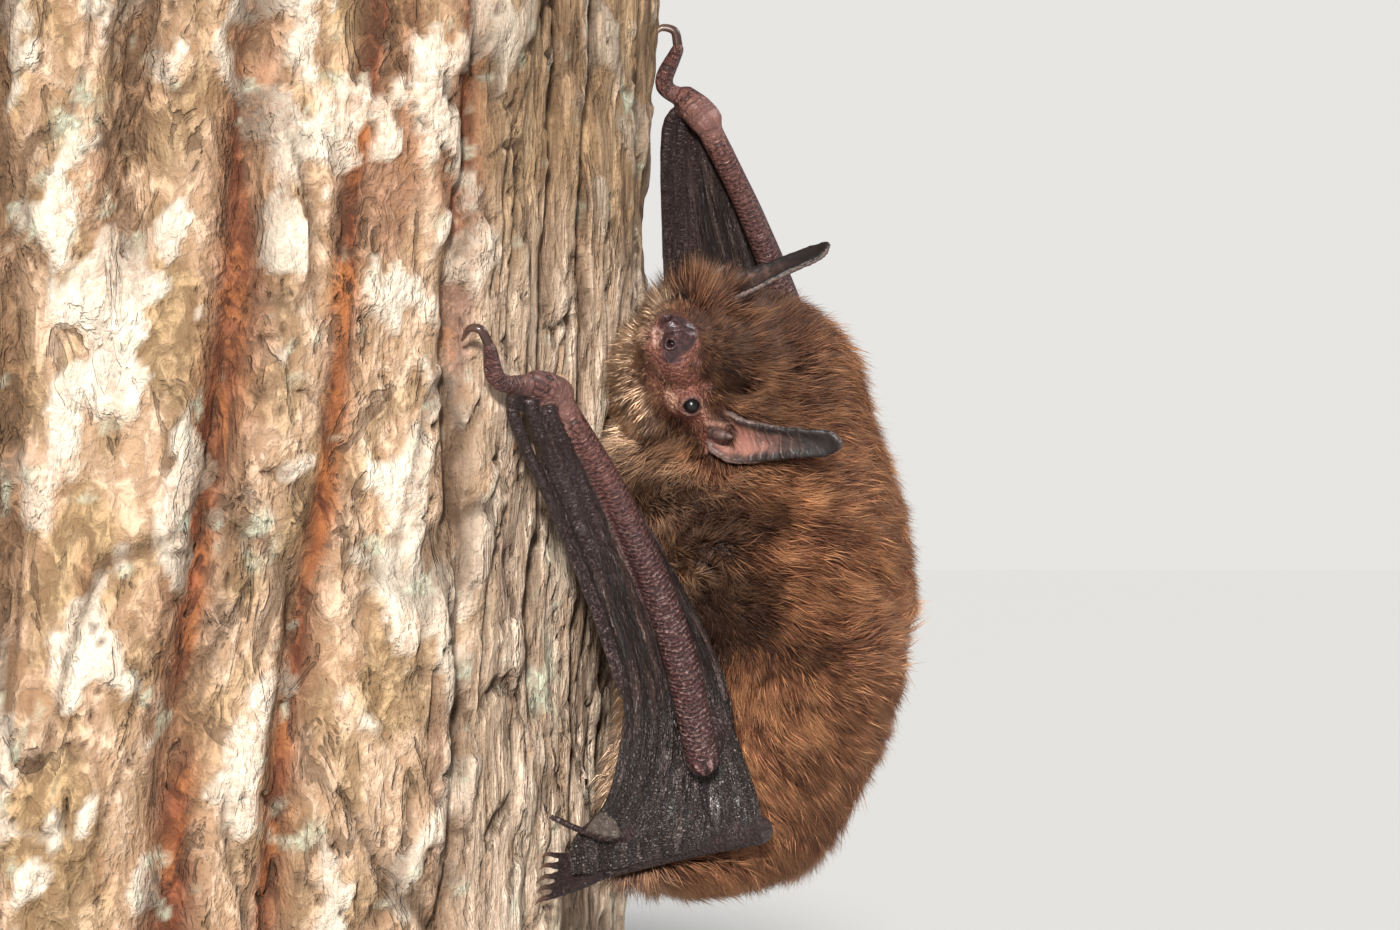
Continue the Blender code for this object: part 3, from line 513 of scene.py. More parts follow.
def closed_sheet(name, points, thick):
    """A thin closed skin over a grid of points (rows, columns, 3), with its own thickness."""
    half = np.asarray(thick)[..., None] / 2 * grid_normals(points)
    rows, columns = points.shape[:2]
    count = rows * columns
    at = np.arange(count).reshape(rows, columns)
    quad = np.stack((at[:-1, :-1], at[:-1, 1:], at[1:, 1:], at[1:, :-1]), -1).reshape(-1, 4)
    rim = np.concatenate((at[0, :], at[1:, -1], at[-1, -2::-1], at[-2:0:-1, 0]))
    after = np.roll(rim, -1)
    wall = np.stack((rim, rim + count, after + count, after), -1)
    verts = np.stack((points + half, points - half)).reshape(-1, 3)
    obj = mesh_from(name, verts, np.vstack((quad, quad[:, ::-1] + count, wall)))
    with shaping(obj.data) as shape:
        bmesh.ops.recalc_face_normals(shape, faces=shape.faces)
    return obj


def grid_normals(points):
    return unit(np.cross(np.gradient(points, axis=1), np.gradient(points, axis=0)))


# ---------------------------------------------------------------- forms of flesh

def body_forms(depth):
    """The body under its coat: ((out, left, up), (half out, half left, half up))."""
    forms = [
        ((61.7, 0.0, 67.0), (12.4, 11.1, 14.8)),
        ((62.2, 0.2, 62.0), (12.5, 11.3, 11.4)),
        ((62.0, 0.3, 56.5), (12.8, 11.3, 15.8)),
        ((59.5, 0.0, 46.5), (11.0, 10.5, 10.9)),
        ((56.4, 0.2, 43.0), (8.8, 9.4, 7.0)),
        ((60.4, -1.6, 78.0), (10.3, 7.7, 9.4)),
        ((57.4, -2.6, 76.0), (9.8, 8.0, 9.4)),
        ((59.6, 4.6, 65.6), (8.6, 8.0, 8.8)),
        ((56.0, 3.4, 70.0), (8.4, 7.8, 8.0)),
    ]
    return [(c, tuple(h - depth for h in half)) for c, half in forms]


def head_forms():
    """The head's skin: ((forward, left, crown), (half forward, half left, half crown))."""
    forms = [
        ((-3.2, -0.3, 0.4), (5.2, 6.2, 5.6)),
        ((-2.0, -0.2, -2.6), (4.6, 5.0, 3.8)),
        ((0.9, 0.0, 0.9), (4.0, 3.9, 3.1)),
        ((4.2, 0.0, 0.1), (4.2, 2.2, 1.9)),
        ((7.1, 0.0, -0.25), (1.5, 1.05, 1.1)),
        ((4.6, 0.0, -2.6), (3.6, 1.7, 0.95)),
        ((1.6, 0.0, -2.4), (3.4, 3.2, 1.9)),
    ]
    for side in (-1, 1):
        forms += [
            ((4.9, side * 2.0, -0.4), (2.3, 1.3, 1.6)),
            ((4.7, side * 1.6, -1.35), (3.0, 1.25, 0.95)),
            ((1.9, side * 3.3, -1.2), (2.4, 1.5, 1.9)),
            ((0.9, side * 4.1, 0.6), (2.2, 1.7, 2.0)),
            ((8.0, side * 0.82, -0.6), (0.72, 0.55, 0.6)),
            ((6.5, side * 1.3, -1.3), (1.7, 0.75, 0.85)),
            ((-0.6, side * 5.3, 2.0), (2.4, 2.2, 2.4)),
        ]
    return forms


def form_distance(points, frame_of, forms):
    """Rough distances outside each ellipsoid: one column for each."""
    local = into(frame_of, points)
    columns = []
    for centre, half in forms:
        q = (local - np.array(centre)) / np.array(half)
        size = np.linalg.norm(q, axis=1)
        slope = np.maximum(np.linalg.norm(q / np.array(half), axis=1), 1e-6)
        columns.append(size * (size - 1) / slope)
    return np.stack(columns, 1)


def flesh_field(points, depth):
    """Below 0 inside the head and body, which melt into each other."""
    def melt(gaps, low, high, soft):
        return -soft * np.log(np.exp(-np.clip(gaps, low, high) / soft).sum(1))

    body = melt(form_distance(points, BODY, body_forms(depth)), -12, 30, 1.3)
    head = melt(form_distance(points, HEAD, head_forms()), -9, 12, 0.35)
    return melt(np.stack((body, head), 1), -20, 30, 0.9)


def settled(points, depth):
    """Points moved along the field's slope until they lie on the flesh."""
    step = 0.02
    for _ in range(4):
        value = flesh_field(points, depth)
        slope = np.stack([flesh_field(points + way * step, depth) - value
                          for way in np.eye(3)], 1) / step
        size = np.maximum((slope ** 2).sum(1), 0.05)
        points = points - np.clip(value / size, -0.8, 0.8)[:, None] * slope
    return points


def log_axis(height):
    """Where the leaning trunk's axis is at each height."""
    return LOG_AXIS_X + LOG_LEAN * (height - LOG_MIDDLE)


def furrow_masks(angle, height, spread_out=1.0):
    """How deep the furrows cut at each angle and height, and how near each place is to one."""
    deepest, nearest = np.zeros(np.shape(angle)), np.zeros(np.shape(angle))
    rise = (height - LOG_MIDDLE) / LOG_HALF
    for at, drift, sway, crest, width, depth, low, high in FURROWS:
        line = np.radians(at + drift * rise + sway * np.cos((height - crest) / 11.0))
        turn = (angle - line + math.pi) % (2 * math.pi) - math.pi
        opened = np.clip(np.minimum((height - low) / FURROW_FADE, (high - height) / FURROW_FADE), 0, 1)
        near = opened * np.exp(-((turn * LOG_RADIUS / (width * spread_out)) ** 2))
        deepest, nearest = np.maximum(deepest, depth * near), np.maximum(nearest, near)
    return deepest, nearest


def bark_relief(angle, height):
    """How far the bark stands out of its mean round at an angle from +X towards -Y."""
    drift = 0.35 * np.sin(height / 19.0) + 0.2 * np.sin(height / 8.0 + 1.7)
    plates = 0.85 * np.cos(7 * angle + drift * 2.0 + 0.6)
    ribs = 0.55 * np.cos(13 * angle - drift * 3.0 + 2.1)
    knots = 0.45 * np.sin(height / 9.0 + 4 * angle) * np.cos(5 * angle + 1.0)
    return plates + ribs + knots - furrow_masks(angle, height)[0]


def above_bark(points):
    """How far points stand off the bark, roughly, below 0 inside it."""
    dx, dy = points[:, 0] - log_axis(points[:, 2]), points[:, 1]
    return np.hypot(dx, dy) - LOG_RADIUS - bark_relief(np.arctan2(-dy, dx), points[:, 2])


# ---------------------------------------------------------------- wings, ears and feet

def forearm_line(arm):
    wrist, elbow, bow = (np.array(arm[k]) for k in ("wrist", "elbow", "bow"))
    marks = [wrist + (elbow - wrist) * t + bow * 2 * t * (1 - t) for t in (0.03, 0.25, 0.5, 0.75, 1)]
    return spline_through(marks, 24)


def limb_lines(side):
    """Every bare limb of one side: name to (line, radii)."""
    arm, leg = ARMS[side], LEGS[side]
    elbow, shoulder = np.array(arm["elbow"]), np.array(arm["shoulder"])
    inward = np.array((0.4, 3.2, 1.0) if side == "left" else (0, -0.6, 0))
    upper = [shoulder, (shoulder + elbow) / 2 + inward, elbow + (shoulder - elbow) * 0.08
             + inward * 0.5, elbow]
    wrist, knuckle = np.array(arm["wrist"]), np.array(arm["thumb"][0])
    palm = [wrist + (wrist - knuckle) * 0.2, (wrist + knuckle) / 2, knuckle]
    shank = [leg["knee"], (np.array(leg["knee"]) + leg["ankle"]) / 2, leg["ankle"]]
    found = {
        "forearm": (forearm_line(arm), FOREARM_RADII),
        "upper_arm": (spline_through(upper, 10), UPPER_ARM_RADII),
        "wrist": (spline_through(palm, 8), WRIST_RADII),
        "thumb": (spline_through(arm["thumb"], 12), THUMB_RADII),
        "tip": (spline_through(arm["tip"], 20), TIP_RADII),
        "leg": (spline_through(shank, 10), LEG_RADII),
    }
    for name, share, slim in (("finger_3", 0.75, 1.0), ("finger_4", 0.45, 0.74),
                              ("finger_5", 0.2, 0.74)):
        root = wrist + (knuckle - wrist) * share + (0.0, 0.3, -0.4)
        found[name] = (spline_through([root, *arm[name]], 20), [r * slim for r in FINGER_RADII])
    for i, line in enumerate(toe_lines(leg)):
        found[f"toe_{i}"] = (line, TOE_RADII)
    return {k: (line, stepped(radii, len(line))) for k, (line, radii) in found.items()}


def toe_lines(leg):
    """Five toes from the ankle to the bark, each with a slight arch."""
    ankle, toes = np.array(leg["ankle"]), np.array(leg["toes"])
    reach, spread = toes - ankle, unit(leg["spread"])
    lines = []
    for toe in range(5):
        along = (toe - 2) * 0.82
        start = ankle + reach * 0.1 + spread * along * 0.3
        knuckle = ankle + reach * 0.5 + spread * along * 0.85 + np.array((0.25, -0.35, 0.1))
        end = toes + spread * along * 1.3
        lines.append(spline_through([start, (start + knuckle) / 2, knuckle, end], 12))
    return lines


def wing_points(rows, across, along, side):
    """The folded wing skin's surface at a grid of shares, with the folds that it hangs in."""
    rows = np.array(rows, float)
    columns = np.stack([spline_through(rows[:, i], along) for i in range(rows.shape[1])], 1)
    surface = np.stack([spline_through(line, across) for line in columns])
    normals = grid_normals(surface)
    u = np.linspace(0, 1, across)[None, :]
    v = np.linspace(0, 1, along)[:, None]
    lengthwise = np.sin(u * 21 + 2.2 * np.sin(v * 5.0) + side) * ease(0.02, 0.2, u)
    slack = np.sin(u * 47 - 3.0 * v + 1.3 * np.sin(v * 9.0))
    fan = np.sin((u * 30 + v * 8)) * ease(0.6, 1.0, v)
    lift = 0.17 * lengthwise + 0.07 * slack + 0.10 * fan
    edge = ease(0, 0.08, u) * ease(0, 0.06, 1 - u)
    return surface + normals * (lift * edge)[..., None]


def tail_points(across, along):
    """Tail skin between the shanks, resting near the bark."""
    lines = []
    for i, middle in enumerate(spline_through(TAIL, along)):
        share = 0.70 + 0.27 * i / (along - 1)
        left, right = (np.array(leg["knee"]) + (np.array(leg["ankle"]) - leg["knee"]) * share
                       for leg in LEGS.values())
        lines.append(spline_through([
            left + (0.3, 1.6, -0.2), middle + (-0.4, -7.5, 2.0), middle + (0, 0, 0.6),
            middle + (0.2, 7.5, 1.4), right + (0.1, -1.6, -0.8)], across))
    return np.stack(lines)


EAR_LINES = {
    "left": [(0.7, 5.8, 1.4), (1.5, 7.8, 3.2), (2.5, 9.2, 7.2), (3.0, 10.2, 11.8)],
    "right": [(-0.2, -5.2, 2.2), (-0.4, -6.9, 4.2), (-0.6, -8.4, 8.0), (-0.8, -9.9, 12.3)],
}
EAR_WIDTHS = (2.0, 2.75, 2.65, 2.2, 1.75, 1.5, 1.3, 1.0)
EAR_CURLS = (1.9, 1.55, 1.25, 1.0, 0.85, 0.75, 0.6, 0.5)


def ear_points(name, across, along):
    """The scoop of one ear, ridged across and rolled at its rim."""
    middle = out_of(HEAD, spline_through(EAR_LINES[name], along))
    ways = unit(np.gradient(middle, axis=0))
    opening = ear_opening(name, along)
    sideways = np.cross(ways, opening)
    v = np.linspace(0, 1, along)
    rounded = np.sqrt(np.clip(1 - ((v - 0.9) / 0.1) ** 2 * (v > 0.9), 0.03, 1))
    half = stepped(EAR_WIDTHS, along) * rounded
    curl = stepped(EAR_CURLS, along)
    u = np.linspace(-1, 1, across)
    turn = u[None] * curl[:, None]
    reach = (half / curl)[:, None]
    ridge = (0.07 * np.sin(v * 92 + 1.5 * np.sin(v * 17)) * ease(0.3, 0.45, v)
             * ease(0.0, 0.25, 0.85 - v))
    ridge = ridge[:, None] * ease(0.0, 0.5, 1.0 - np.abs(u))[None]
    rim = 0.22 * ease(0.82, 1.0, np.abs(u))[None] * ease(1.0, 0.9, v)[:, None]
    depth = reach * (1 - np.cos(turn) - 0.35) + ridge - rim
    return (middle[:, None] + sideways[:, None] * (reach * np.sin(turn))[..., None]
            + opening[:, None] * depth[..., None])


def tragus_line(name):
    side, lift = SIDES[name], {"left": 0.0, "right": 0.9}[name]
    return out_of(HEAD, spline_through([
        (1.6, side * 6.7, 1.0 + lift), (2.1, side * 7.3, 1.9 + lift), (2.3, side * 7.7, 2.7 + lift)
    ], 10))


def ear_opening(name, along):
    """The way that the scoop of an ear opens, at steps from base to tip."""
    ways = unit(np.gradient(out_of(HEAD, spline_through(EAR_LINES[name], along)), axis=0))
    facing = unit(HEAD[1][0] * 0.78 + HEAD[1][1] * SIDES[name] * 0.6)
    return unit(facing - ways * (ways @ facing)[:, None])


def thin_sheets():
    """The folded wings, ears, tail skin and lobe: name to (kind, grid of points, thickness)."""
    rim = ease(0.8, 1.0, np.abs(np.linspace(-1, 1, EAR_GRID[0])))[None]
    found = {}
    for side, rows, seed in (("left", LEFT_WING_ROWS, 0.0), ("right", RIGHT_WING_ROWS, 2.0)):
        found[f"wing_{side}"] = ("wing", wing_points(rows, *WING_GRID, seed), SHEET_THICK)
        found[f"ear_{side}"] = ("ear", ear_points(side, *EAR_GRID), mix(SHEET_THICK, 0.60, rim))
    found["tail_skin"] = ("tail", tail_points(*TAIL_GRID), SHEET_THICK)
    found["wing_lobe"] = ("wing", wing_points(WING_LOBE, *LOBE_GRID, 1.0), 0.45)
    return found


# ---------------------------------------------------------------- markings of skin and coat

def mirrored(place, side):
    """A place in head ways, or its mirror image where side is -1."""
    return np.array(place) * (1, side, 1)


# The bare skin of each side of the face: a line in head ways, and its half width at each point.
MUZZLES = {
    1: ([(8.6, 0.0, -0.3), (5.7, 1.7, -1.5), (3.9, 3.7, -2.0), (2.4, 5.2, -0.8), (0.9, 6.5, 1.0)],
        (1.9, 2.7, 3.2, 2.1, 1.4)),
    -1: ([(8.6, 0.0, -0.3), (6.9, -1.0, -0.8), (5.8, -2.2, -0.8)], (1.9, 0.9, 0.6)),
}


def bare_face(points):
    """1 on the bare skin from the nose past the eye to the ear, 0 in the coat."""
    local = into(HEAD, points)
    ragged = 0.34 * np.sin(local[:, 0] * 3.1 + local[:, 1] * 2.3) + 0.25 * np.sin(local[:, 1] * 5.7)
    found = np.zeros(len(points))
    for line, radii in MUZZLES.values():
        gap, _ = along_line(local, np.array(line), radii)
        found = np.maximum(found, ease(0.6, -0.4, gap + ragged * ease(8.4, 6.4, local[:, 0])))
    return found


# Darker places of the coat on the body, and by the face, partly the dark underfur that shows in the
# partings and partly painted shade: centre, half sizes, strength.
SHADED_HOLLOWS = (
    ((61.5, 10.6, 60.4), (4.4, 5.0, 4.6), 1.0), ((60.0, 10.4, 66.2), (4.2, 5.0, 3.2), 1.0),
    ((64.2, 9.6, 67.8), (2.4, 5.0, 2.0), 0.9), ((55.2, 10.4, 70.2), (4.2, 5.0, 1.9), 0.9),
    ((66.0, 9.0, 56.6), (3.8, 5.0, 1.7), 0.6), ((57.3, 10.8, 66.8), (2.6, 4.0, 1.5), 0.7),
    ((59.0, 10.0, 56.0), (2.6, 5.0, 4.5), 0.7),
)
DARK_FACE = (
    ((3.0, 2.5, 3.0), (2.6, 1.9, 1.6), 0.75), ((2.6, 5.3, -2.9), (2.8, 1.8, 2.3), 0.95),
    ((0.5, 6.4, -2.6), (2.8, 2.2, 2.8), 0.7),
)


def blot(local, places, wander):
    """How deep each point lies in soft-edged dark places: (centre, half sizes, strength)."""
    found = np.zeros(len(local))
    for centre, size, strength in places:
        away = distance(local, centre, size) + wander * 0.3
        found = np.maximum(found, strength * ease(1.35, 0.60, away))
    return found


def coat_marks(points):
    """How much of each of the coat's colours a place has."""
    head, body = into(HEAD, points), into(BODY, points)
    wander = soft_noise(points, 3.2, 3.1) + 0.5 * soft_noise(points, 1.1, 9.1)
    belly = ease(56.5, 49.5, body[:, 0] + wander * 1.4)
    throat = ease(0.6, -4.4, head[:, 2] + wander * 0.9) * ease(64.0, 71.0, points[:, 2])
    shag = ease(8.8, 5.0, distance(body, (55.6, 11.0, 65.0), (1.0, 1.0, 1.35)) + wander)
    pale = np.clip(np.maximum(belly, throat) * (1 - 0.75 * shag), 0, 1)
    right_cheek = ease(-1.2, -3.8, head[:, 1]) * ease(-4.0, -1.0, head[:, 2])
    crown = np.maximum(ease(-1.6, 2.2, head[:, 2]), right_cheek)
    crown *= ease(14.0, 9.0, np.linalg.norm(head, axis=1))
    rump = ease(60.0, 45.0, points[:, 2] + wander * 2.0) * ease(50.0, 56.0, body[:, 0])
    dark_face = blot(head, DARK_FACE, wander)
    by_face = ease(3.0, 6.5, distance(head, (5.0, 3.2, -2.0)) + wander * 0.4)
    pale *= (1 - 0.85 * dark_face) * mix(0.30, 1.0, by_face)
    # painted shade in the coat's hollows and under the eye, where the dark underfur also shows
    hollow = np.maximum(blot(body, SHADED_HOLLOWS, wander), 0.85 * dark_face)
    return {"pale": pale, "crown": crown, "rump": rump, "hollow": np.clip(hollow, 0, 1), "shag": shag}


# Where the coat lies its own way: (across and height), reach, (way to the right, way up).
LIES = (
    ((57.5, 69.0), 4.5, (1.0, 0.22)), ((57.8, 62.5), 4.0, (0.75, -0.66)),
    ((60.0, 57.5), 4.0, (0.8, 0.5)), ((50.3, 52.5), 5.0, (0.0, -1.0)),
    ((55.4, 47.5), 5.0, (0.7, -0.7)), ((44.0, 57.0), 5.0, (-0.55, -0.85)),
    ((52.5, 74.5), 3.0, (0.9, -0.45)), ((52.5, 40.0), 4.0, (0.35, -0.95)),
    ((60.5, 50.0), 3.0, (0.95, -0.3)),
)


def coat_flow(points, normals):
    """The way that the hairs lie at each place, along the skin."""
    head, body = into(HEAD, points), into(BODY, points)
    from_nose = unit(head - np.array((7.5, 0.0, 0.6))) @ HEAD[1]
    low = ease(66.0, 46.0, points[:, 2])[:, None]
    down = np.array((0.0, 0.0, -1.0))
    back = BODY[1][0]
    flow = back * mix(1.0, 0.55, low) + down * mix(0.12, 0.85, low)
    near_belly = ease(57.0, 52.0, body[:, 0])[:, None]
    flow = mix(flow, down - 0.2 * back, near_belly * 0.8)
    for (x, z), reach, (right, up) in LIES:
        apart = (points[:, 0] - x) ** 2 + (points[:, 2] - z) ** 2
        share = 0.85 * np.exp(-apart / reach ** 2)[:, None]
        flow = mix(flow, unit((right, 0.0, up)) * 1.1, share)
    on_head = ease(12.5, 8.5, distance(head, HEAD_BALL))[:, None]
    swirl, fine = (np.stack([soft_noise(points, size, s) for s in seeds], 1)
                   for size, seeds in ((3.6, (11.0, 23.0, 37.0)), (1.2, (13.0, 29.0, 43.0))))
    rough = ease(9.5, 3.5, np.linalg.norm(
        (body - np.array((57.0, 10.0, 65.5))) * (0.8, 0.8, 1.0), axis=1))[:, None]
    flow = mix(flow, from_nose * 1.2, on_head)
    tousle = swirl * mix(0.30, 1.1, rough) + fine * mix(0.38, 1.1, rough)
    flow = flow + tousle * mix(1.0, 0.6, on_head)
    flow -= normals * (flow * normals).sum(1, keepdims=True)
    return unit(flow)


def coat_length(points):
    """A share of the full length: short round the face, full on neck and back."""
    head = into(HEAD, points)
    share = np.interp(distance(head, (5.6, 0.0, -0.4)), (2.4, 3.6, 5.4, 8.0, 11.0),
                      (0.30, 0.38, 0.58, 0.84, 0.95))
    low = ease(44.0, 40.0, points[:, 2]) - 1.9 * ease(38.5, 36.8, points[:, 2])
    far_eye = ease(3.4, 1.4, distance(head, mirrored(EYE_PLACE, -1)))
    return share * mix(1.0, 0.60, bare_face(points)) * mix(1.0, 1.2, low) * mix(1.0, 2.1, far_eye)


# ---------------------------------------------------------------- shader nodes

class Wire:
    """A value inside a shader, which adds, subtracts and multiplies as a number does."""

    def __init__(self, finish, socket):
        self.finish, self.socket = finish, socket

    def __add__(self, other):
        return self.finish.math("ADD", self, other)

    def __sub__(self, other):
        return self.finish.math("SUBTRACT", self, other)

    def __rsub__(self, other):
        return self.finish.math("SUBTRACT", other, self)

    def __mul__(self, other):
        return self.finish.math("MULTIPLY", self, other)


class Finish:
    """A material, group or world being made. Its methods add nodes and give back their values."""

    def __init__(self, owner, tree, end=None):
        self.owner, self.tree, self.end = owner, tree, end

    def plug(self, socket, value):
        """Gives a socket a wire, or a number or colour of its own."""
        if isinstance(value, Wire):
            self.tree.links.new(value.socket, socket)
        elif value is not None:
            socket.default_value = (*value, 1.0) if socket.type == "RGBA" else value

    def node(self, kind, result, given, **settings):
        """One node with the given input values and settings: its result."""
        made = self.tree.nodes.new("ShaderNode" + kind)
        for name, value in settings.items():
            setattr(made, name, value)
        for name, value in given.items():
            self.plug(made.inputs[name], value)
        return Wire(self, made.outputs[result])

    def math(self, operation, a, b=None, clamp=False):
        return self.node("Math", 0, {0: a, 1: b}, operation=operation, use_clamp=clamp)

    def mark(self, name):
        """A number that the mesh keeps at each corner."""
        return self.node("Attribute", "Fac", {}, attribute_name=name)

    def sheet(self, first, second):
        """A place on a wing, ear or limb's own sheet, from two marks."""
        return self.node("CombineXYZ", "Vector", {"X": self.mark(first), "Y": self.mark(second)})

    def place(self):
        return self.node("TexCoord", "Object", {})

    def mix(self, share, a, b):
        """Two colours or values mixed by a third."""
        return self.node("Mix", 2, {0: share, 6: a, 7: b}, data_type="RGBA")

    def layers(self, colour, *coats):
        """A colour with others laid over it in order, each given as (share, colour)."""
        for share, over in coats:
            colour = self.mix(share, colour, over)
        return colour

    def span(self, value, low, high):
        """0 below low and 1 above high, smooth between."""
        return self.node("MapRange", "Result", {"Value": value, "From Min": low, "From Max": high},
                         interpolation_type="SMOOTHSTEP")

    def sine_span(self, phase, low, high):
        return self.span(self.math("SINE", phase), low, high)

    def grain(self, where, scale, detail=3.0, rough=0.55, warp=0.0):
        """Noise of its own size along each axis."""
        where = self.node("Mapping", "Vector", {"Vector": where, "Scale": scale})
        return self.node("TexNoise", "Fac", {"Vector": where, "Scale": 1.0, "Detail": detail,
                                             "Roughness": rough, "Distortion": warp})

    def group(self, group, **given):
        """A shader group placed with its own values: its outputs by name."""
        made = self.tree.nodes.new("ShaderNodeGroup")
        made.node_tree = group
        for name, value in given.items():
            self.plug(made.inputs[name], value)
        return {output.name: Wire(self, output) for output in made.outputs}

    def bump(self, height, distance, strength=1.0):
        """Relief of a depth in millimetres."""
        self.plug(self.end.inputs["Normal"], self.node(
            "Bump", "Normal", {"Height": height, "Distance": distance * MM, "Strength": strength}))

    def finished(self, **results):
        for name, value in results.items():
            self.plug(self.end.inputs[name.replace("_", " ")], value)
        return self.owner


def new_finish(name, **values):
    """A material whose shader has the given values."""
    made = bpy.data.materials.new(name)
    made.use_nodes = True
    finish = Finish(made, made.node_tree, made.node_tree.nodes["Principled BSDF"])
    finish.finished(**values)
    return finish


def effect_group(name, inputs, outputs):
    """An empty shader group with the given {input: (kind, default)} and {output: kind}."""
    group = bpy.data.node_groups.new(name, "ShaderNodeTree")
    for label, (kind, value) in inputs.items():
        socket = group.interface.new_socket(label, in_out="INPUT", socket_type="NodeSocket" + kind)
        if value is not None:
            socket.default_value = value
    for label, kind in outputs.items():
        group.interface.new_socket(label, in_out="OUTPUT", socket_type="NodeSocket" + kind)
    given, end = group.nodes.new("NodeGroupInput"), group.nodes.new("NodeGroupOutput")
    finish = Finish(group, group, end)
    return finish, {output.name: Wire(finish, output) for output in given.outputs}


# ---------------------------------------------------------------- materials

def mottle_group():
    """Soft blotches and fine speckle, 0 to 1, used by skin, coat and bark."""
    finish, given = effect_group(
        "mottle", {"Vector": ("Vector", None), "Blotch": ("Float", 200.0),
                   "Speckle": ("Float", 2000.0)}, {"Blotches": "Float", "Speckles": "Float"})
    return finish.finished(**{
        result: finish.span(finish.node("TexNoise", "Fac", {
            "Vector": given["Vector"], "Scale": given[size], "Detail": detail}), 0.32, 0.68)
        for result, size, detail in (("Blotches", "Blotch", 3.0), ("Speckles", "Speckle", 2.0))})


COAT_MARKS = ("pale", "crown", "rump", "hollow", "shag")


def coat_colour_group(coat):
    """The coat's colour from its marks, shared by tufts and the skin beneath them."""
    inputs = {name.capitalize(): ("Float", 0.0) for name in (*COAT_MARKS, "tone")}
    finish, given = effect_group("coat_colours", inputs, {"Colour": "Color"})
    colour = finish.layers(
        coat.back_brown, (given["Crown"], coat.crown_brown), (given["Rump"], coat.rump_orange),
        (given["Pale"], coat.throat_buff), (given["Shag"] * 0.6, coat.crown_brown),
        # the hollows: painted shade, darkened towards the underfur colour
        (given["Hollow"] * 0.92, coat.underfur_and_shade))
    value, hue = (finish.node("MapRange", "Result", {
        "Value": given["Tone"], "To Min": low, "To Max": high
    }) for low, high in ((0.16, 2.05), (0.488, 0.512)))
    return finish.finished(Colour=finish.node(
        "HueSaturation", "Color", {"Value": value, "Hue": hue, "Color": colour}))


def coat_colour(finish, colours, tone):
    """The coat's colour at a place, from the marks stored there."""
    marks = {name.capitalize(): finish.mark(name) for name in COAT_MARKS}
    return finish.group(colours, Tone=tone, **marks)["Colour"]


def coat_material(coat, colours, mottle):
    finish = new_finish("coat_fur", Roughness=0.5, Specular_IOR_Level=0.32)
    mark, span = finish.mark, finish.span
    tone, along = mark("tone"), mark("along")
    # dark towards the roots: the underfur's colour and painted shade among the hairs
    rooted = finish.mix(span(along + mark("pale") * 0.25, 0.08, 0.70), coat.underfur_and_shade,
                        coat_colour(finish, colours, tone))
    # fewer pale tips in the hollows, which carry painted shade
    plainer = finish.math("SUBTRACT", 1.0, mark("pale") * 0.5 + mark("hollow") * 0.95, clamp=True)
    # bright tips: the hairs' lighter ends and painted highlight
    tips = span(along, 0.42, 1.02) * span(tone, 0.28, 0.85) * plainer * 0.98
    tip = finish.mix(mark("shag") * 0.9, coat.gold_tips_and_sheen, (0.74, 0.55, 0.34))
    spots = finish.group(mottle, Vector=finish.place(), Blotch=300.0, Speckle=1500.0)
    return finish.finished(Base_Color=finish.layers(
        rooted, (tips - tips * mark("crown") * 0.5, tip), (spots["Blotches"] * 0.30, coat.underfur_and_shade)))


def wing_finish(finish, skin, spots):
    """Folded wing skin: fine creases lengthwise, pebbles near the knee, with painted highlights on the
    tops of the creases and folds and painted glints. Colour and height.
    """
    mark, span, mix = finish.mark, finish.span, finish.mix
    sheet = finish.sheet("across", "down")
    broad = span(finish.grain(sheet, (1.25, 0.13, 1.0), 3.0, 0.6, 0.8), 0.44, 0.62)
    creases = span(finish.grain(sheet, (4.2, 0.5, 1.0), 5.0, 0.66, 0.7), 0.43, 0.64)
    cell_place = finish.node("Mapping", "Vector", {"Vector": sheet, "Scale": (3.0, 2.2, 1.0)})
    pebbles = span(finish.node("TexVoronoi", "Distance", {"Vector": cell_place, "Scale": 1.0},
                               feature="DISTANCE_TO_EDGE"), 0.04, 0.26)
    near_knee = mark("rough")
    tops = mix(near_knee, creases, pebbles)
    # painted glints on the fold tops
    glints = tops * span(spots["Speckles"], 0.55, 1.0) * broad
    fine = span(finish.grain(sheet, (11.0, 1.1, 1.0), 4.0, 0.7, 0.5), 0.52, 0.66)
    colour = finish.layers(
        # lighter on crease and fold tops, with fine pale flecks and glints: painted highlights
        skin.wing_dark, (tops * 0.55, (0.080, 0.053, 0.047)), (broad * creases * 0.62, skin.wing_fold_sheen),
        (fine * tops * 0.60, (0.36, 0.27, 0.24)),
        (span(near_knee, 0.9, 0.1) * broad * 0.55,
         mix(creases, (0.050, 0.020, 0.016), (0.23, 0.120, 0.092))),
        (glints * 0.55, (0.34, 0.28, 0.265)), (spots["Blotches"] * 0.35, skin.wing_dark),
        (mark("lobe"), mix(creases, (0.17, 0.125, 0.105), (0.52, 0.43, 0.36))))
    return colour, tops * 0.8 + broad * 0.9


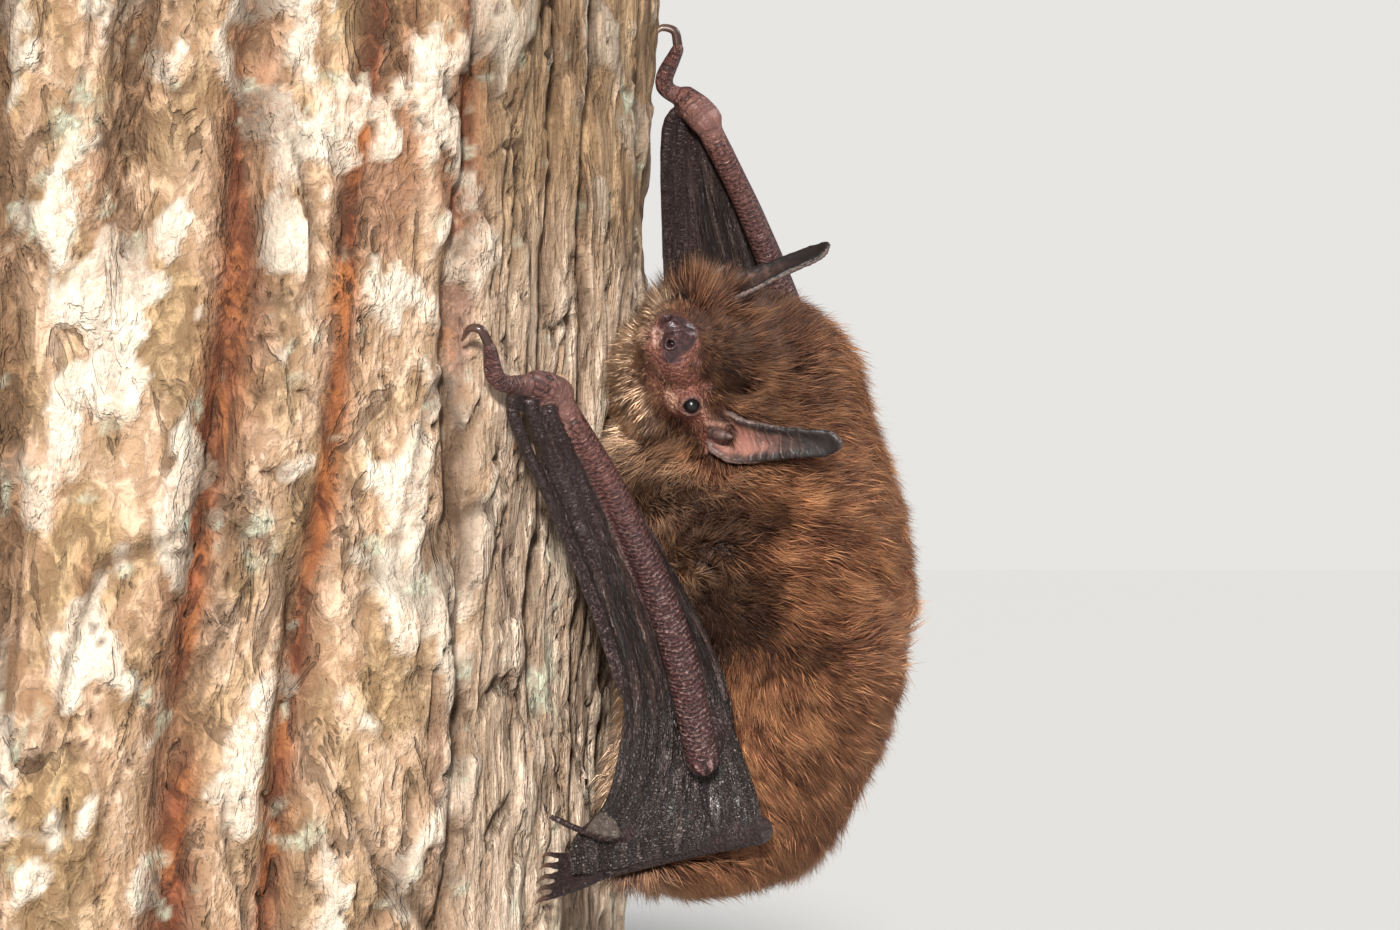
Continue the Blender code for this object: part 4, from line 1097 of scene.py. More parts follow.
def arm_finish(finish, skin, spots):
    """Wrinkled skin of forearm and fingers, creased across, with painted highlights on the crease tops
    and near the wrist, painted shade in the crease troughs and painted glints that grow towards the
    elbow.
    """
    mark, span, mix = finish.mark, finish.span, finish.mix
    limb, slim, sheet = mark("limb"), mark("finger"), finish.sheet("limb", "around")
    wobble = finish.grain(sheet, (1.1, 1.6, 1.0), 3.0, 0.6, 0.6)
    creases = finish.sine_span(limb * 15.5 + wobble * 11.0 + mark("around") * 7.0, -0.75, 0.85)
    fine = span(finish.grain(sheet, (5.0, 2.4, 1.0), 4.0, 0.65, 0.5), 0.36, 0.64)
    tops = mix(mark("creased"), creases * 0.12 + fine * 0.5, creases * 0.6 + fine * 0.4)
    # painted glints, stronger towards the elbow
    glints = tops * span(spots["Speckles"], 0.5, 1.0) * span(limb, 3.0, 24.0)
    # painted highlight on the part near the wrist
    wrist_highlight = span(limb, 17.0, 3.0) * fine * (1.0 - slim)
    # painted highlight at the wrist and knuckle
    knuckle = span(limb, 2.4, 0.6) * (1.0 - slim)
    colour = finish.layers(
        # lighter on the crease tops as painted highlight, darker in the troughs as painted shade
        skin.arm_maroon, (tops * 0.7, (0.135, 0.050, 0.046)),
        (spots["Blotches"] * 0.45, (0.045, 0.018, 0.020)),
        (slim * 0.88, mix(tops, (0.022, 0.013, 0.012), skin.finger_brown)),
        (span(tops, 0.42, 0.10) * 0.75, (0.014, 0.005, 0.006)), (glints * 0.60, (0.46, 0.31, 0.28)),
        (wrist_highlight * 0.36, (0.36, 0.155, 0.115)), (knuckle * 0.34, (0.42, 0.21, 0.17)))
    return colour, tops


def ear_finish(finish, skin, spots):
    """Ear: flesh-coloured base, grey-brown ridged scoop and dark tip, with painted highlights on the
    ridges and a pale thin rim that is painted highlight.
    """
    mark, span, mix = finish.mark, finish.span, finish.mix
    along, rim, speck = mark("ear"), mark("rim"), spots["Speckles"]
    share = along + (spots["Blotches"] - 0.5) * 0.14 + span(rim, 0.35, 0.8) * 0.22
    ridges = (finish.sine_span(along * 92.0 + spots["Blotches"] * 2.6, 0.2, 1.0)
              * span(along, 0.30, 0.45) * span(along, 0.85, 0.6))
    colour = finish.layers(
        skin.ear_flesh, (span(share, 0.36, 0.66), skin.ear_grey),
        # pale ridge lines: painted highlight on the ridges
        (span(share, 0.58, 0.84), skin.ear_dark), (ridges * 0.30, (0.26, 0.160, 0.135)),
        (span(rim, 0.55, 0.86) * 0.7, skin.ear_dark),
        # pale thin rim: painted highlight along the ear's edge
        (span(rim, 0.93, 0.985) * 0.55, (0.34, 0.235, 0.20)), (speck * 0.22, skin.ear_dark),
        (mark("tragus"), mix(speck, (0.040, 0.022, 0.019), (0.125, 0.068, 0.055))),
        (mark("ear_back"), mix(speck, (0.050, 0.033, 0.030), (0.120, 0.075, 0.065))))
    return colour, (ridges + speck * 0.3) * 0.28


def face_finish(finish, skin, spots):
    """Bare face: flushed pink skin, pebbled, with purple nose, pale lids, and near-black nostril pits
    that are painted shade.
    """
    mark, mix = finish.mark, finish.mix
    blotch, speck = spots["Blotches"], spots["Speckles"]
    return finish.layers(
        skin.face_pink, (blotch * 0.85, skin.face_red), (speck * 0.30, (0.37, 0.160, 0.105)),
        (finish.span(speck, 0.45, 0.10) * 0.55, (0.060, 0.018, 0.013)),
        # darker skin, partly painted shade under the eye
        (mark("dusky") * 0.9, mix(speck, (0.060, 0.020, 0.013), (0.19, 0.070, 0.042))),
        (mark("lit") * 0.75, (0.52, 0.29, 0.20)),
        (mark("nose"), mix(speck * blotch, skin.nose_purple, (0.115, 0.048, 0.046))),
        (mark("lip") * 0.7, (0.60, 0.36, 0.29)), (mark("lid") * 0.5, skin.lid_pale),
        # pit: near-black painted shade in the nostril pits
        (mark("lash") * 0.85, (0.045, 0.018, 0.016)), (mark("pit"), (0.010, 0.004, 0.004)))


def skin_material(skin, coat, colours, mottle):
    finish = new_finish("bat_skin", Roughness=0.5)
    mark = finish.mark
    spots = finish.group(mottle, Vector=finish.place(), Blotch=520.0, Speckle=3400.0)
    # skin under the coat: dark like the underfur, partly painted shade beneath the hairs
    felt = finish.mix(0.7, coat_colour(finish, colours, 0.25), coat.underfur_and_shade)
    colour = finish.mix(mark("bare"), felt, face_finish(finish, skin, spots))
    height = spots["Speckles"] * (0.6 - mark("nose") * 0.5)
    for name, part in (("is_wing", wing_finish), ("is_arm", arm_finish), ("is_ear", ear_finish)):
        over, relief = part(finish, skin, spots)
        colour = finish.mix(mark(name), colour, over)
        height = finish.mix(mark(name), height, relief)
    finish.bump(height, 0.20)
    return finish.finished(Base_Color=colour, Roughness=finish.layers((0.46,) * 3, *(
        (share, (rough,) * 3) for share, rough in (
            (mark("is_wing"), 0.33), (mark("is_ear"), 0.47), (mark("nose") * 0.9, 0.26),
            (spots["Blotches"] * 0.3, 0.6)))))


def plain_material(name, colour, roughness, speckle, mottle):
    """A finish with a little mottling in its colour."""
    finish = new_finish(name, Roughness=roughness)
    spots = finish.group(mottle, Vector=finish.place(), Blotch=90.0, Speckle=900.0)
    finish.bump(spots["Speckles"], 0.01)
    lighter = tuple(min(1.0, c * 1.7 + 0.01) for c in colour)
    return finish.finished(Base_Color=finish.mix(spots["Speckles"] * speckle, colour, lighter))


def eye_material():
    finish = new_finish("eye_wet", Roughness=0.30, Specular_IOR_Level=0.55)
    return finish.finished(Base_Color=finish.mix(
        finish.span(finish.mark("rim"), 0.25, 1.0), (0.0015, 0.001, 0.001), (0.010, 0.004, 0.003)))


def claw_material(mottle):
    finish = new_finish("claw_dark", Roughness=0.34, Coat_Weight=0.1)
    spots = finish.group(mottle, Vector=finish.place(), Blotch=700.0, Speckle=3000.0)
    tip = finish.span(finish.mark("along"), 0.2, 1.0)
    return finish.finished(Base_Color=finish.layers(
        (0.050, 0.024, 0.018), (tip, (0.150, 0.082, 0.055)),
        (spots["Blotches"] * 0.3, (0.070, 0.034, 0.026))))


def bark_material(trunk, mottle):
    finish = new_finish("bark_rough", Roughness=0.85, Specular_IOR_Level=0.22)
    mark, span, mix, where = finish.mark, finish.span, finish.mix, finish.place()
    spots = finish.group(mottle, Vector=where, Blotch=210.0, Speckle=1500.0)
    blotch, speck = spots["Blotches"], spots["Speckles"]
    fibrous = mark("fibrous")

    def layered(plain, lengthwise, detail, warp, low, high):
        """Grain that is even on the front plates and drawn out on the fibrous side."""
        return span(mix(fibrous, finish.grain(where, plain, detail, 0.66, warp),
                        finish.grain(where, lengthwise, detail, 0.68, warp)), low, high)

    grains = layered((620.0, 620.0, 380.0), (1000.0, 1000.0, 120.0), 6.0, 0.8, 0.38, 0.62)
    cracks = layered((260.0, 260.0, 110.0), (480.0, 480.0, 60.0), 4.0, 1.2, 0.435, 0.375)
    patches = layered((150.0, 150.0, 80.0), (260.0, 260.0, 90.0), 4.0, 1.2, 0.42, 0.58)
    flake, sawn = mark("flake"), mark("sawn")
    cream = mix(speck * blotch, trunk.bark_cream, (0.74, 0.54, 0.40))
    glow = span(patches, 0.6, 1.0) * blotch
    rust = mix(glow * 0.8, mix(grains, (0.110, 0.034, 0.018), trunk.bark_rust), (0.50, 0.180, 0.062))
    rings = finish.sine_span(mark("radius") * 4.4 + blotch * 1.4, 0.2, 1.0)
    wood = finish.layers(trunk.sawn, (rings, (0.36, 0.205, 0.10)), (speck * 0.3, (0.42, 0.27, 0.15)))
    colour = finish.layers(
        (0.38, 0.225, 0.125), (grains, trunk.bark_tan),
        (patches * 0.75, mix(grains, (0.53, 0.345, 0.215), (0.80, 0.58, 0.42))),
        # olive patches, with painted shade at the top of the fibrous side
        (mark("olive") * 0.8, mix(grains, (0.215, 0.130, 0.062), trunk.bark_olive)),
        (flake * 0.9, cream), (mark("rust"), rust),
        # painted light: paler towards the bottom of the fibrous side
        (mark("weather") * 0.62, mix(grains, (0.52, 0.37, 0.26), (0.98, 0.80, 0.64))),
        (cracks * (0.58 - flake * 0.42), trunk.bark_dark),
        (mark("shade") * 0.85, mix(grains, trunk.bark_dark, (0.22, 0.115, 0.060))),
        (mark("crack") * 0.9, trunk.bark_dark),
        (mark("lichen") * (speck * 0.6 + 0.4), trunk.lichen), (sawn, wood))
    height = grains * 0.7 + speck * 0.45 + patches * 0.9 - cracks * 1.1
    finish.bump(mix(sawn, height, speck * 0.3), 0.36, 0.9)
    return finish.finished(Base_Color=colour)


def shared_materials():
    """Every finish, made once and kept by name."""
    if "bat_skin" not in bpy.data.materials:
        scene = bpy.context.scene
        mottle, colours = mottle_group(), coat_colour_group(scene.bat_coat)
        coat_material(scene.bat_coat, colours, mottle)
        skin_material(scene.bat_skin, scene.bat_coat, colours, mottle)
        eye_material()
        claw_material(mottle)
        bark_material(scene.bat_trunk, mottle)
        plain_material("stand_satin", (0.022, 0.021, 0.020), 0.42, 0.35, mottle)
        plain_material("stage_floor", scene.bat_stage.floor, 0.9, 0.08, mottle)
    return bpy.data.materials


# ---------------------------------------------------------------- skin

def flesh_object(depth):
    """Head and body under the coat, as one smooth form."""
    forms = joined("flesh", [
        ball_forms("body_forms", BODY, body_forms(depth)), ball_forms("head_forms", HEAD, head_forms())
    ])
    obj = melted(forms, FLESH_VOXEL * MM, 3)
    move_corners(obj.data, settled(corners(obj.data), depth))
    return obj


def bare_parts():
    """Wings, legs, tail and ears as separate closed forms, by kind."""
    made = {"arm": [], "wing": [], "ear": [], "tail": []}
    sheets = thin_sheets()

    def add_sheet(name):
        kind, points, thick = sheets[name]
        made[kind].append(closed_sheet(name, points, thick))

    for side in SIDES:
        made["arm"] += [tube(f"{name}_{side}", *limb) for name, limb in limb_lines(side).items()]
        add_sheet(f"wing_{side}")
        add_sheet(f"ear_{side}")
        made["ear"].append(tube(f"tragus_{side}", tragus_line(side), stepped((0.6, 0.5, 0.25), 10)))
    made["arm"].append(tube("tail", spline_through(TAIL, 20), stepped(TAIL_RADII, 20)))
    add_sheet("tail_skin")
    add_sheet("wing_lobe")
    return made


def sheet_place(points, grids, reach):
    """Each point's place on the nearest of some grids: shares across and along, whether it is on the
    last grid, and the grid's own point."""
    at = []
    for grid in grids:
        rows, columns = grid.shape[:2]
        u, v = np.meshgrid(np.linspace(0, 1, columns), np.linspace(0, 1, rows))
        at.append(np.stack((u, v), -1).reshape(-1, 2))
    at, nodes = np.vstack(at), np.vstack([grid.reshape(-1, 3) for grid in grids])
    which, gap = nearest_of(nodes, points)
    last = which >= len(nodes) - grids[-1].shape[0] * grids[-1].shape[1]
    return at[which, 0], at[which, 1], last & (gap < reach), nodes[which]


def tree_of(objs):
    """One search tree over several objects, in millimetres."""
    verts, faces, start = [], [], 0
    for obj in objs:
        points = corners(obj.data)
        faces.append(triangles(obj.data) + start)
        verts.append(points)
        start += len(points)
    return bvhtree.BVHTree.FromPolygons(np.vstack(verts).tolist(), np.vstack(faces).tolist())


def gap_to(tree, points, reach):
    found = np.full(len(points), reach)
    for i, p in enumerate(points.tolist()):
        hit = tree.find_nearest(p, reach)
        if hit[0] is not None:
            found[i] = hit[3]
    return found


def finer(mesh, chosen):
    """Splits the faces round the chosen corners into four."""
    keep = set(np.nonzero(chosen)[0].tolist())
    with shaping(mesh) as shape:
        shape.verts.ensure_lookup_table()
        edges = [e for e in shape.edges if e.verts[0].index in keep and e.verts[1].index in keep]
        bmesh.ops.subdivide_edges(shape, edges=edges, cuts=1, use_grid_fill=True)
        bmesh.ops.triangulate(shape, faces=[f for f in shape.faces if len(f.verts) > 4])


def shaped_round(points, centre, axis, profile, reach):
    """Moves points near an axis to a height profile(distance from the axis, height), in head ways."""
    local = points - centre
    axis = unit(axis)
    height = local @ axis
    across = np.linalg.norm(local - height[:, None] * axis, axis=1)
    near = (across < reach) & (np.abs(height) < reach * 1.2)
    moved = height.copy()
    moved[near] = profile(across[near], height[near])
    return points + (moved - height)[:, None] * axis


# Where the lids' edge begins and ends round the eye's middle, and how deep the pit behind it is.
LID_EDGE = (0.61, 0.67)
EYE_PIT = 0.85


def lid_profile(r, h):
    """The lids' thick rim round a pit that holds the eye."""
    inner, outer = LID_EDGE
    rim = 0.27 + 0.02 * hump(r, 0.75, 0.08) - 0.02 * hump(r, 1.0, 0.12)
    shaped = np.where(r < inner, -EYE_PIT, rim)
    edge = (r >= inner) & (r < outer)
    shaped = np.where(edge, mix(-0.4, 0.34, (r - inner) / 0.06), shaped)
    return mix(h, shaped, ease(1.45, 0.85, r))


def nostril_profile(r, h):
    """A raised ring round a nostril's pit."""
    return h + (0.15 * hump(r, 0.46, 0.13) - 0.60 * ease(0.34, 0.18, r)) * ease(1.0, 0.72, r)


# Places in head ways: a nostril and its way out, lighter skin, darker skin that is partly painted
# shade under the eye, and the mouth's line.
NOSTRIL = (8.45, 0.92, -0.6)
NOSTRIL_WAY = (0.80, 0.55, -0.25)
LIT_FACE = (
    ((3.6, 4.4, -1.9), (1.1, 1.2, 0.6), 1.0), ((3.3, 5.2, 1.1), (1.0, 0.8, 0.8), 0.8),
    ((2.0, 6.0, 1.4), (1.0, 1.1, 1.0), 0.6),
)
# darker face skin; the blot under the eye is painted shade
DARK_SKIN_AND_SHADE = (
    ((5.1, 3.4, -2.2), (2.1, 1.2, 1.3), 0.9), ((3.8, 5.6, -2.2), (1.6, 1.1, 1.4), 0.9),
    ((4.6, 1.8, 1.2), (2.2, 1.3, 0.9), 0.9),
)
MOUTH = np.array([(8.3, 0, -1.75), (7.2, 1.35, -1.9), (5.6, 2.2, -2.1), (4.0, 3.0, -2.3),
                  (2.9, 3.5, -2.2)])


def face_details(points):
    """Lids, nostrils, nose groove, mouth and wrinkles, cut into the head's skin."""
    local = into(HEAD, points)
    for side in (-1, 1):
        for place, way, profile, reach in ((EYE_PLACE, EYE_WAY, lid_profile, 1.8),
                                           (NOSTRIL, NOSTRIL_WAY, nostril_profile, 1.05)):
            local = shaped_round(local, mirrored(place, side), mirrored(way, side), profile, reach)
    local[:, 0] += -0.24 * hump(local[:, 1], 0, 0.2) * ease(6.8, 8.0, local[:, 0])
    inward = unit(np.array((-0.5, 0, 0)) - local * np.array((0, 1, 0)) * 0.6)
    for side in (1, -1):
        gap, _ = along_line(local, MOUTH * (1, side, 1), (0.0,) * len(MOUTH))
        pull = 0.34 * hump(gap, 0, 0.15) - 0.10 * hump(gap, 0.42, 0.16)
        local = local + inward * pull[:, None]
    cheek = ease(1.2, 2.4, local[:, 0]) * ease(7.2, 6.0, local[:, 0])
    wrinkle = np.sin(local[:, 0] * 5.2 + local[:, 2] * 2.4 + 1.5 * soft_noise(local, 1.1, 5.0))
    pebble = soft_noise(local, 0.42, 17.0)
    local = local - inward * ((0.035 * wrinkle + 0.055 * pebble) * cheek)[:, None]
    return out_of(HEAD, local)


def face_marks(points):
    """Where nose, lips, lids, nostrils and lighter and darker skin lie on the bare face."""
    local = into(HEAD, points)
    bare = bare_face(points)
    f, side, up = local.T
    wander = soft_noise(local, 0.9, 61.0)
    nose = ease(7.0, 7.8, f + wander * 0.25) * ease(-1.9, -1.3, up)
    gap, _ = along_line(np.stack((f, np.abs(side), up), 1), MOUTH, (0.0,) * len(MOUTH))
    lip = hump(gap, 0.34, 0.16) * ease(4.5, 6.8, f)
    lid, lash, pit = (np.zeros(len(points)) for _ in range(3))
    for way in (-1, 1):
        eye = mirrored(EYE_PLACE, way)
        away = distance(local, eye)
        low_side = ease(-0.2, 0.5, (local - eye) @ np.array((-0.2, 0.0, -1.0)))
        ring = ease(1.10, 0.90, away) * ease(0.78, 0.84, away)
        lid = np.maximum(lid, ring * mix(0.25, 1.0, low_side))
        lash = np.maximum(lash, ease(0.99, 0.82, away))
        # nostril pits, which are painted near-black as shade
        pit = np.maximum(pit, ease(0.40, 0.22, distance(local, mirrored(NOSTRIL, way))))
    return {"nose": nose * bare, "lip": lip * bare, "lid": lid, "lash": lash, "pit": pit,
            "lit": blot(local, LIT_FACE, wander), "dusky": blot(local, DARK_SKIN_AND_SHADE, wander)}


def limb_marks(points):
    """Where each point lies on the nearest bare limb, and how far outside it."""
    found = {name: np.zeros(len(points)) for name in ("limb", "around", "finger", "creased")}
    arm_gap = np.full(len(points), 9.0)
    for side in SIDES:
        for name, (line, radii) in limb_lines(side).items():
            gap, along = along_line(points, line, radii)
            at = np.searchsorted(np.linspace(0, 1, len(line)), along / max(along.max(), 0.01))
            nearest = line[np.clip(at, 0, len(line) - 1)]
            sideways = unit(np.cross(line[-1] - line[0], (0.0, 1.0, 0.0)))
            turn = np.abs(np.arctan2((points - nearest) @ sideways, nearest[:, 1] - points[:, 1]))
            dark = float(name.startswith(("toe", "tip", "finger", "leg", "upper")))
            creased = float(name == "forearm") * ease(1.5, 5.0, along)
            closer = gap < arm_gap
            for mark, values in zip(found, (along, turn, dark, creased)):
                found[mark] = np.where(closer, values, found[mark])
            arm_gap = np.where(closer, gap, arm_gap)
    return found, arm_gap


def ear_marks(points, ears):
    """How far up the ear each point is, how near its rim, and whether on its back or tragus."""
    over, share, _, nearest = sheet_place(points, ears, 9.0)
    on_left = into(HEAD, points)[:, 1] > 0
    left_way, right_way = (ear_opening(name, EAR_GRID[1]).mean(0) for name in SIDES)
    opening = np.where(on_left[:, None], left_way, right_way)
    tragus = [ease(0.7, 0.45, along_line(points, tragus_line(name), (0.3,) * 10)[0]) for name in SIDES]
    return {"ear": np.where(on_left, share, 0.28 + 0.72 * share), "rim": np.abs(over * 2 - 1),
            "ear_back": ease(0.05, -0.12, ((points - nearest) * opening).sum(1)),
            "tragus": np.maximum(*tragus)}


def make_skin(settings):
    """The whole bat's skin in one piece, with marks that its material reads."""
    flesh, parts = flesh_object(settings.body_depth / MM), bare_parts()
    flesh_tree, ear_tree = tree_of([flesh]), tree_of(parts["ear"])
    whole = joined("bat_skin", [flesh, *(o for objs in parts.values() for o in objs)])
    whole = melted(whole, settings.grain, 2)
    mesh = whole.data
    local = into(HEAD, corners(mesh))
    finer(mesh, (local[:, 0] > 0.6) & (distance(local, (3.5, 0, -0.5)) < 7.6))
    local = into(HEAD, corners(mesh))
    finer(mesh, np.any([distance(local, centre) < reach for centre, reach in (
        ((8.2, 0, -0.5), 2.4), (EYE_PLACE, 2.0), (mirrored(EYE_PLACE, -1), 2.0))], 0))
    points = corners(mesh)
    by_ear, on_flesh = gap_to(ear_tree, points, 1.2), gap_to(flesh_tree, points, 1.5)
    points = face_details(points)
    move_corners(mesh, points)
    mesh.shade_smooth()

    furred = ease(0.75, 0.3, on_flesh)
    is_ear = ease(0.45, 0.15, by_ear) * ease(0.1, 0.5, on_flesh)
    on_limb, arm_gap = limb_marks(points)
    sheets = {name: points for name, (_, points, _) in thin_sheets().items()}
    across, down, on_lobe, _ = sheet_place(
        points, [sheets[name] for name in ("wing_left", "wing_right", "tail_skin", "wing_lobe")], 0.5)
    out = into(BODY, points)[:, 0]
    rough = ease(48.5, 43.5, points[:, 2] - (out - 50.0) * 0.75 + soft_noise(points, 2.0, 3.0))
    marks = {"bare": bare_face(points), "is_ear": is_ear, "is_wing": (1 - furred) * (1 - is_ear),
             "is_arm": ease(0.40, 0.10, arm_gap) * (1 - furred), "across": across * 16.0,
             "down": down * 38.0, "lobe": on_lobe, "rough": rough, **on_limb,
             **ear_marks(points, [sheets["ear_left"], sheets["ear_right"]]), **face_marks(points),
             **coat_marks(points)}
    for name, values in marks.items():
        store(mesh, name, values)
    return whole


# ---------------------------------------------------------------- coat

# A tuft's patch in the unwrap, the triangles in a piece, how deep roots start, how many locks the
# tufts draw into, how clear of ears and wings roots keep, and how wide a hair is beside a tuft.
TUFT_PATCH = 0.003
PIECE_TRIANGLES = 194000
ROOT_DEPTH = 0.18
BIG_LOCKS, SMALL_LOCKS = 700, 8000
PART_GAP = 0.35
HAIR_SHARE = 0.66


def spikes(name, centres, widths, seed):
    """Closed tapering tufts. centres is (tufts, stations, 3), the last station being the tip."""
    tufts, stations = centres.shape[:2]
    rng = np.random.default_rng(seed)
    ways = unit(centres[:, 1:] - centres[:, :-1])
    side = unit(np.cross(ways[:, 0], rng.normal(size=(tufts, 3))))
    spin = np.arange(3) * 2 * math.pi / 3
    rings = [centres[:, s, None] + ways_round(side, np.cross(side, ways[:, s]), spin)
             * widths[:, s, None, None] / 2 for s in range(stations - 1)]
    verts = np.concatenate([*rings, centres[:, -1:, :]], 1).reshape(-1, 3)
    faces = [(0, 2, 1)]
    for low in range(0, 3 * (stations - 2), 3):
        for j in range(3):
            k = (j + 1) % 3
            faces += [(low + j, low + k, low + 3 + k), (low + j, low + 3 + k, low + 3 + j)]
    last, tip = 3 * (stations - 2), 3 * (stations - 1)
    faces += [(last + j, last + (j + 1) % 3, tip) for j in range(3)]
    starts = np.arange(tufts) * (tip + 1)
    return mesh_from(name, verts, (np.array(faces)[None] + starts[:, None, None]).reshape(-1, 3))


def coat_unwrap(roots):
    """Each root's place on an unwrap of the skin: the head as a ball, the body as a barrel."""
    head, body = into(HEAD, roots), into(BODY, roots)
    body_turn = np.arctan2(body[:, 1], body[:, 0] - 60.0) / (2 * math.pi) + 0.5
    body_uv = np.stack((0.02 + 0.56 * body_turn, 0.02 + 0.95 * (roots[:, 2] - 32) / 60), 1)
    head_turn = np.arctan2(head[:, 1], head[:, 2]) / (2 * math.pi) + 0.5
    slope = np.arccos(np.clip(unit(head)[:, 0], -1, 1)) / math.pi
    head_uv = np.stack((0.62 + 0.36 * head_turn, 0.02 + 0.95 * slope), 1)
    on_head = distance(head, HEAD_BALL) < 10.5
    return np.clip(np.where(on_head[:, None], head_uv, body_uv), 0.0, 0.996)


def up_the_tuft(stations):
    """How far towards the tip each corner of a tuft is."""
    return np.append(np.repeat(np.linspace(0, 1, stations)[:-1], 3), 1.0)


def add_unwrap(mesh, roots, stations):
    """Gives the tufts their small patches in a map named OFBake."""
    across = np.append(np.tile((0.0, 0.5, 1.0), stations - 1), 0.5)
    offsets = np.stack((across, up_the_tuft(stations)), 1) * TUFT_PATCH
    uv = (coat_unwrap(roots)[:, None] + offsets[None]).reshape(-1, 2)
    layer = mesh.uv_layers.new(name="OFBake")
    which = np.empty(len(mesh.loops), np.int32)
    mesh.loops.foreach_get("vertex_index", which)
    layer.data.foreach_set("uv", uv[which].astype(np.float32).ravel())


def scatter(mesh, count, density, seed):
    """Random points on a mesh, more where density is higher, with its normals there."""
    rng = np.random.default_rng(seed)
    points, normals, faces = corners(mesh), at_corners(mesh, "normal"), triangles(mesh)
    a, b, c = (points[faces[:, i]] for i in range(3))
    area = np.linalg.norm(np.cross(b - a, c - a), axis=1)
    weight = area * density((a + b + c) / 3)
    chosen = rng.choice(len(faces), size=count, p=weight / weight.sum())
    r, s = rng.random((2, count))
    flip = r + s > 1
    r, s = np.where(flip, 1 - r, r), np.where(flip, 1 - s, s)
    f = faces[chosen]
    weights = np.stack((1 - r - s, r, s), 1)[..., None]
    return (points[f] * weights).sum(1), unit((normals[f] * weights).sum(1))


def locks(roots, spacing, seed):
    """The leader of each tuft's lock: the nearest of some of the tufts, and how far it is."""
    rng = np.random.default_rng(seed)
    leaders = rng.choice(len(roots), size=max(int(len(roots) / spacing), 1), replace=False)
    which, gap = nearest_of(roots[leaders], roots)
    return leaders[which], gap


def coat_density(points):
    """How thickly tufts grow at each place: none on nose and eyes, few on the bare face."""
    head = into(HEAD, points)
    near_face = ease(9.5, 6.0, distance(head, (4.0, 0, 0)))
    seen = 1 + 0.35 * ease(-8.0, -16.0, points[:, 1])
    naked = ease(7.0, 7.8, head[:, 0]) * ease(-2.3, -1.5, head[:, 2])
    for side in (-1, 1):
        naked = np.maximum(naked, ease(1.35, 1.1, distance(head, mirrored(EYE_PLACE, side))))
    cover = np.clip(1.0 - bare_face(points) * 0.88, 0.02, 1) * np.clip(1 - naked, 0, 1)
    return cover * (above_bark(points) > 0.7) * (1 + 1.3 * near_face) * seen


def clear_tufts(trees, roots, middle, tips):
    """Which tufts keep clear of the bark, and of wings, ears and limbs."""
    def blocked(a, b):
        way, reach = (b - a).normalized(), (b - a).length
        return any(tree.ray_cast(a, way, reach)[0] is not None for tree in trees.values())

    keep = (above_bark(middle) > 0.15) & (above_bark(tips) > 0.1)
    for i in np.nonzero(keep)[0].tolist():
        a, b, c = Vector(roots[i]), Vector(middle[i]), Vector(tips[i])
        keep[i] = not (blocked(a, b) or blocked(b, c))
    for kind in ("ear", "wing"):
        keep[keep] = gap_to(trees[kind], roots[keep], 0.8) > PART_GAP
    return keep


def coat_paths(coat, flesh, trees, count, seed):
    """Root, middle and tip of each tuft, drawn into locks, with tone and thickness."""
    rng = np.random.default_rng(seed)
    roots, normals = scatter(flesh.data, count, coat_density, seed + 1)
    full = coat.length / MM
    flow = coat_flow(roots, normals)
    marks = coat_marks(roots)
    length = (full * coat_length(roots) * rng.uniform(0.62, 1.22, len(roots))
              * (1 - 0.25 * marks["hollow"]))
    on_head = ease(11.5, 8.5, distance(into(HEAD, roots), HEAD_BALL))
    shaggy = ease(11.0, 4.0, distance(into(BODY, roots), (56.5, 10.0, 65.0)))
    big, _ = locks(roots, count / BIG_LOCKS, 5)
    small, apart = locks(roots, count / SMALL_LOCKS, 6)
    lock_rise = rng.normal(0, 1.0, len(roots))
    lift = mix(0.50, 0.72, on_head) + rng.normal(0, 0.13, len(roots))
    lift += mix(0.06, 0.16, shaggy) * lock_rise[small] + 0.08 * lock_rise[big] - 0.14 * marks["hollow"]
    sweep = unit(np.cross(normals, flow))
    turn = mix(0.13, 0.40, shaggy) * lock_rise[np.roll(small, 7)] + 0.16 * rng.normal(size=len(roots))
    flow = unit(flow + sweep * turn[:, None])
    length *= 1 + mix(0.06, 0.16, shaggy) * lock_rise[small] + 0.25 * shaggy
    first = np.clip(lift + 0.34, 0.15, 1.35)[:, None]
    second = np.clip(lift - 0.26, 0.02, 1.1)[:, None]
    stray = rng.normal(0, 0.07, roots.shape)
    size = length[:, None]
    low = roots - normals * ROOT_DEPTH
    middle = low + size * 0.46 * (flow * np.cos(first) + normals * np.sin(first))
    tips = middle + size * 0.54 * (flow * np.cos(second) + normals * np.sin(second) + stray)
    pull = (rng.uniform(0.0, 0.72, len(roots)) * ease(1.3, 0.2, apart) * mix(0.7, 1.35, shaggy)
            * mix(1.0, 0.6, on_head))[:, None]
    tips = tips + (tips[small] + (roots - roots[small]) * 0.16 - tips) * pull
    middle = middle + (middle[small] + (roots - roots[small]) * 0.55 - middle) * pull * 0.6

    keep = clear_tufts(trees, roots, middle, tips)
    tone = (0.48 + mix(0.12, 0.18, shaggy) * lock_rise[small] + 0.07 * lock_rise[big]
            + 0.17 * rng.normal(size=len(roots)) + 0.24 * soft_noise(roots, 1.6, 71.0)
            + 0.22 * soft_noise(roots, 0.7, 77.0) + 0.10 * soft_noise(roots, 3.4, 79.0))
    found = {"roots": roots, "low": low, "middle": middle, "tips": tips, "size": length / full,
             "tone": np.clip(tone, 0, 1), **marks}
    return {k: v[keep] for k, v in found.items()}


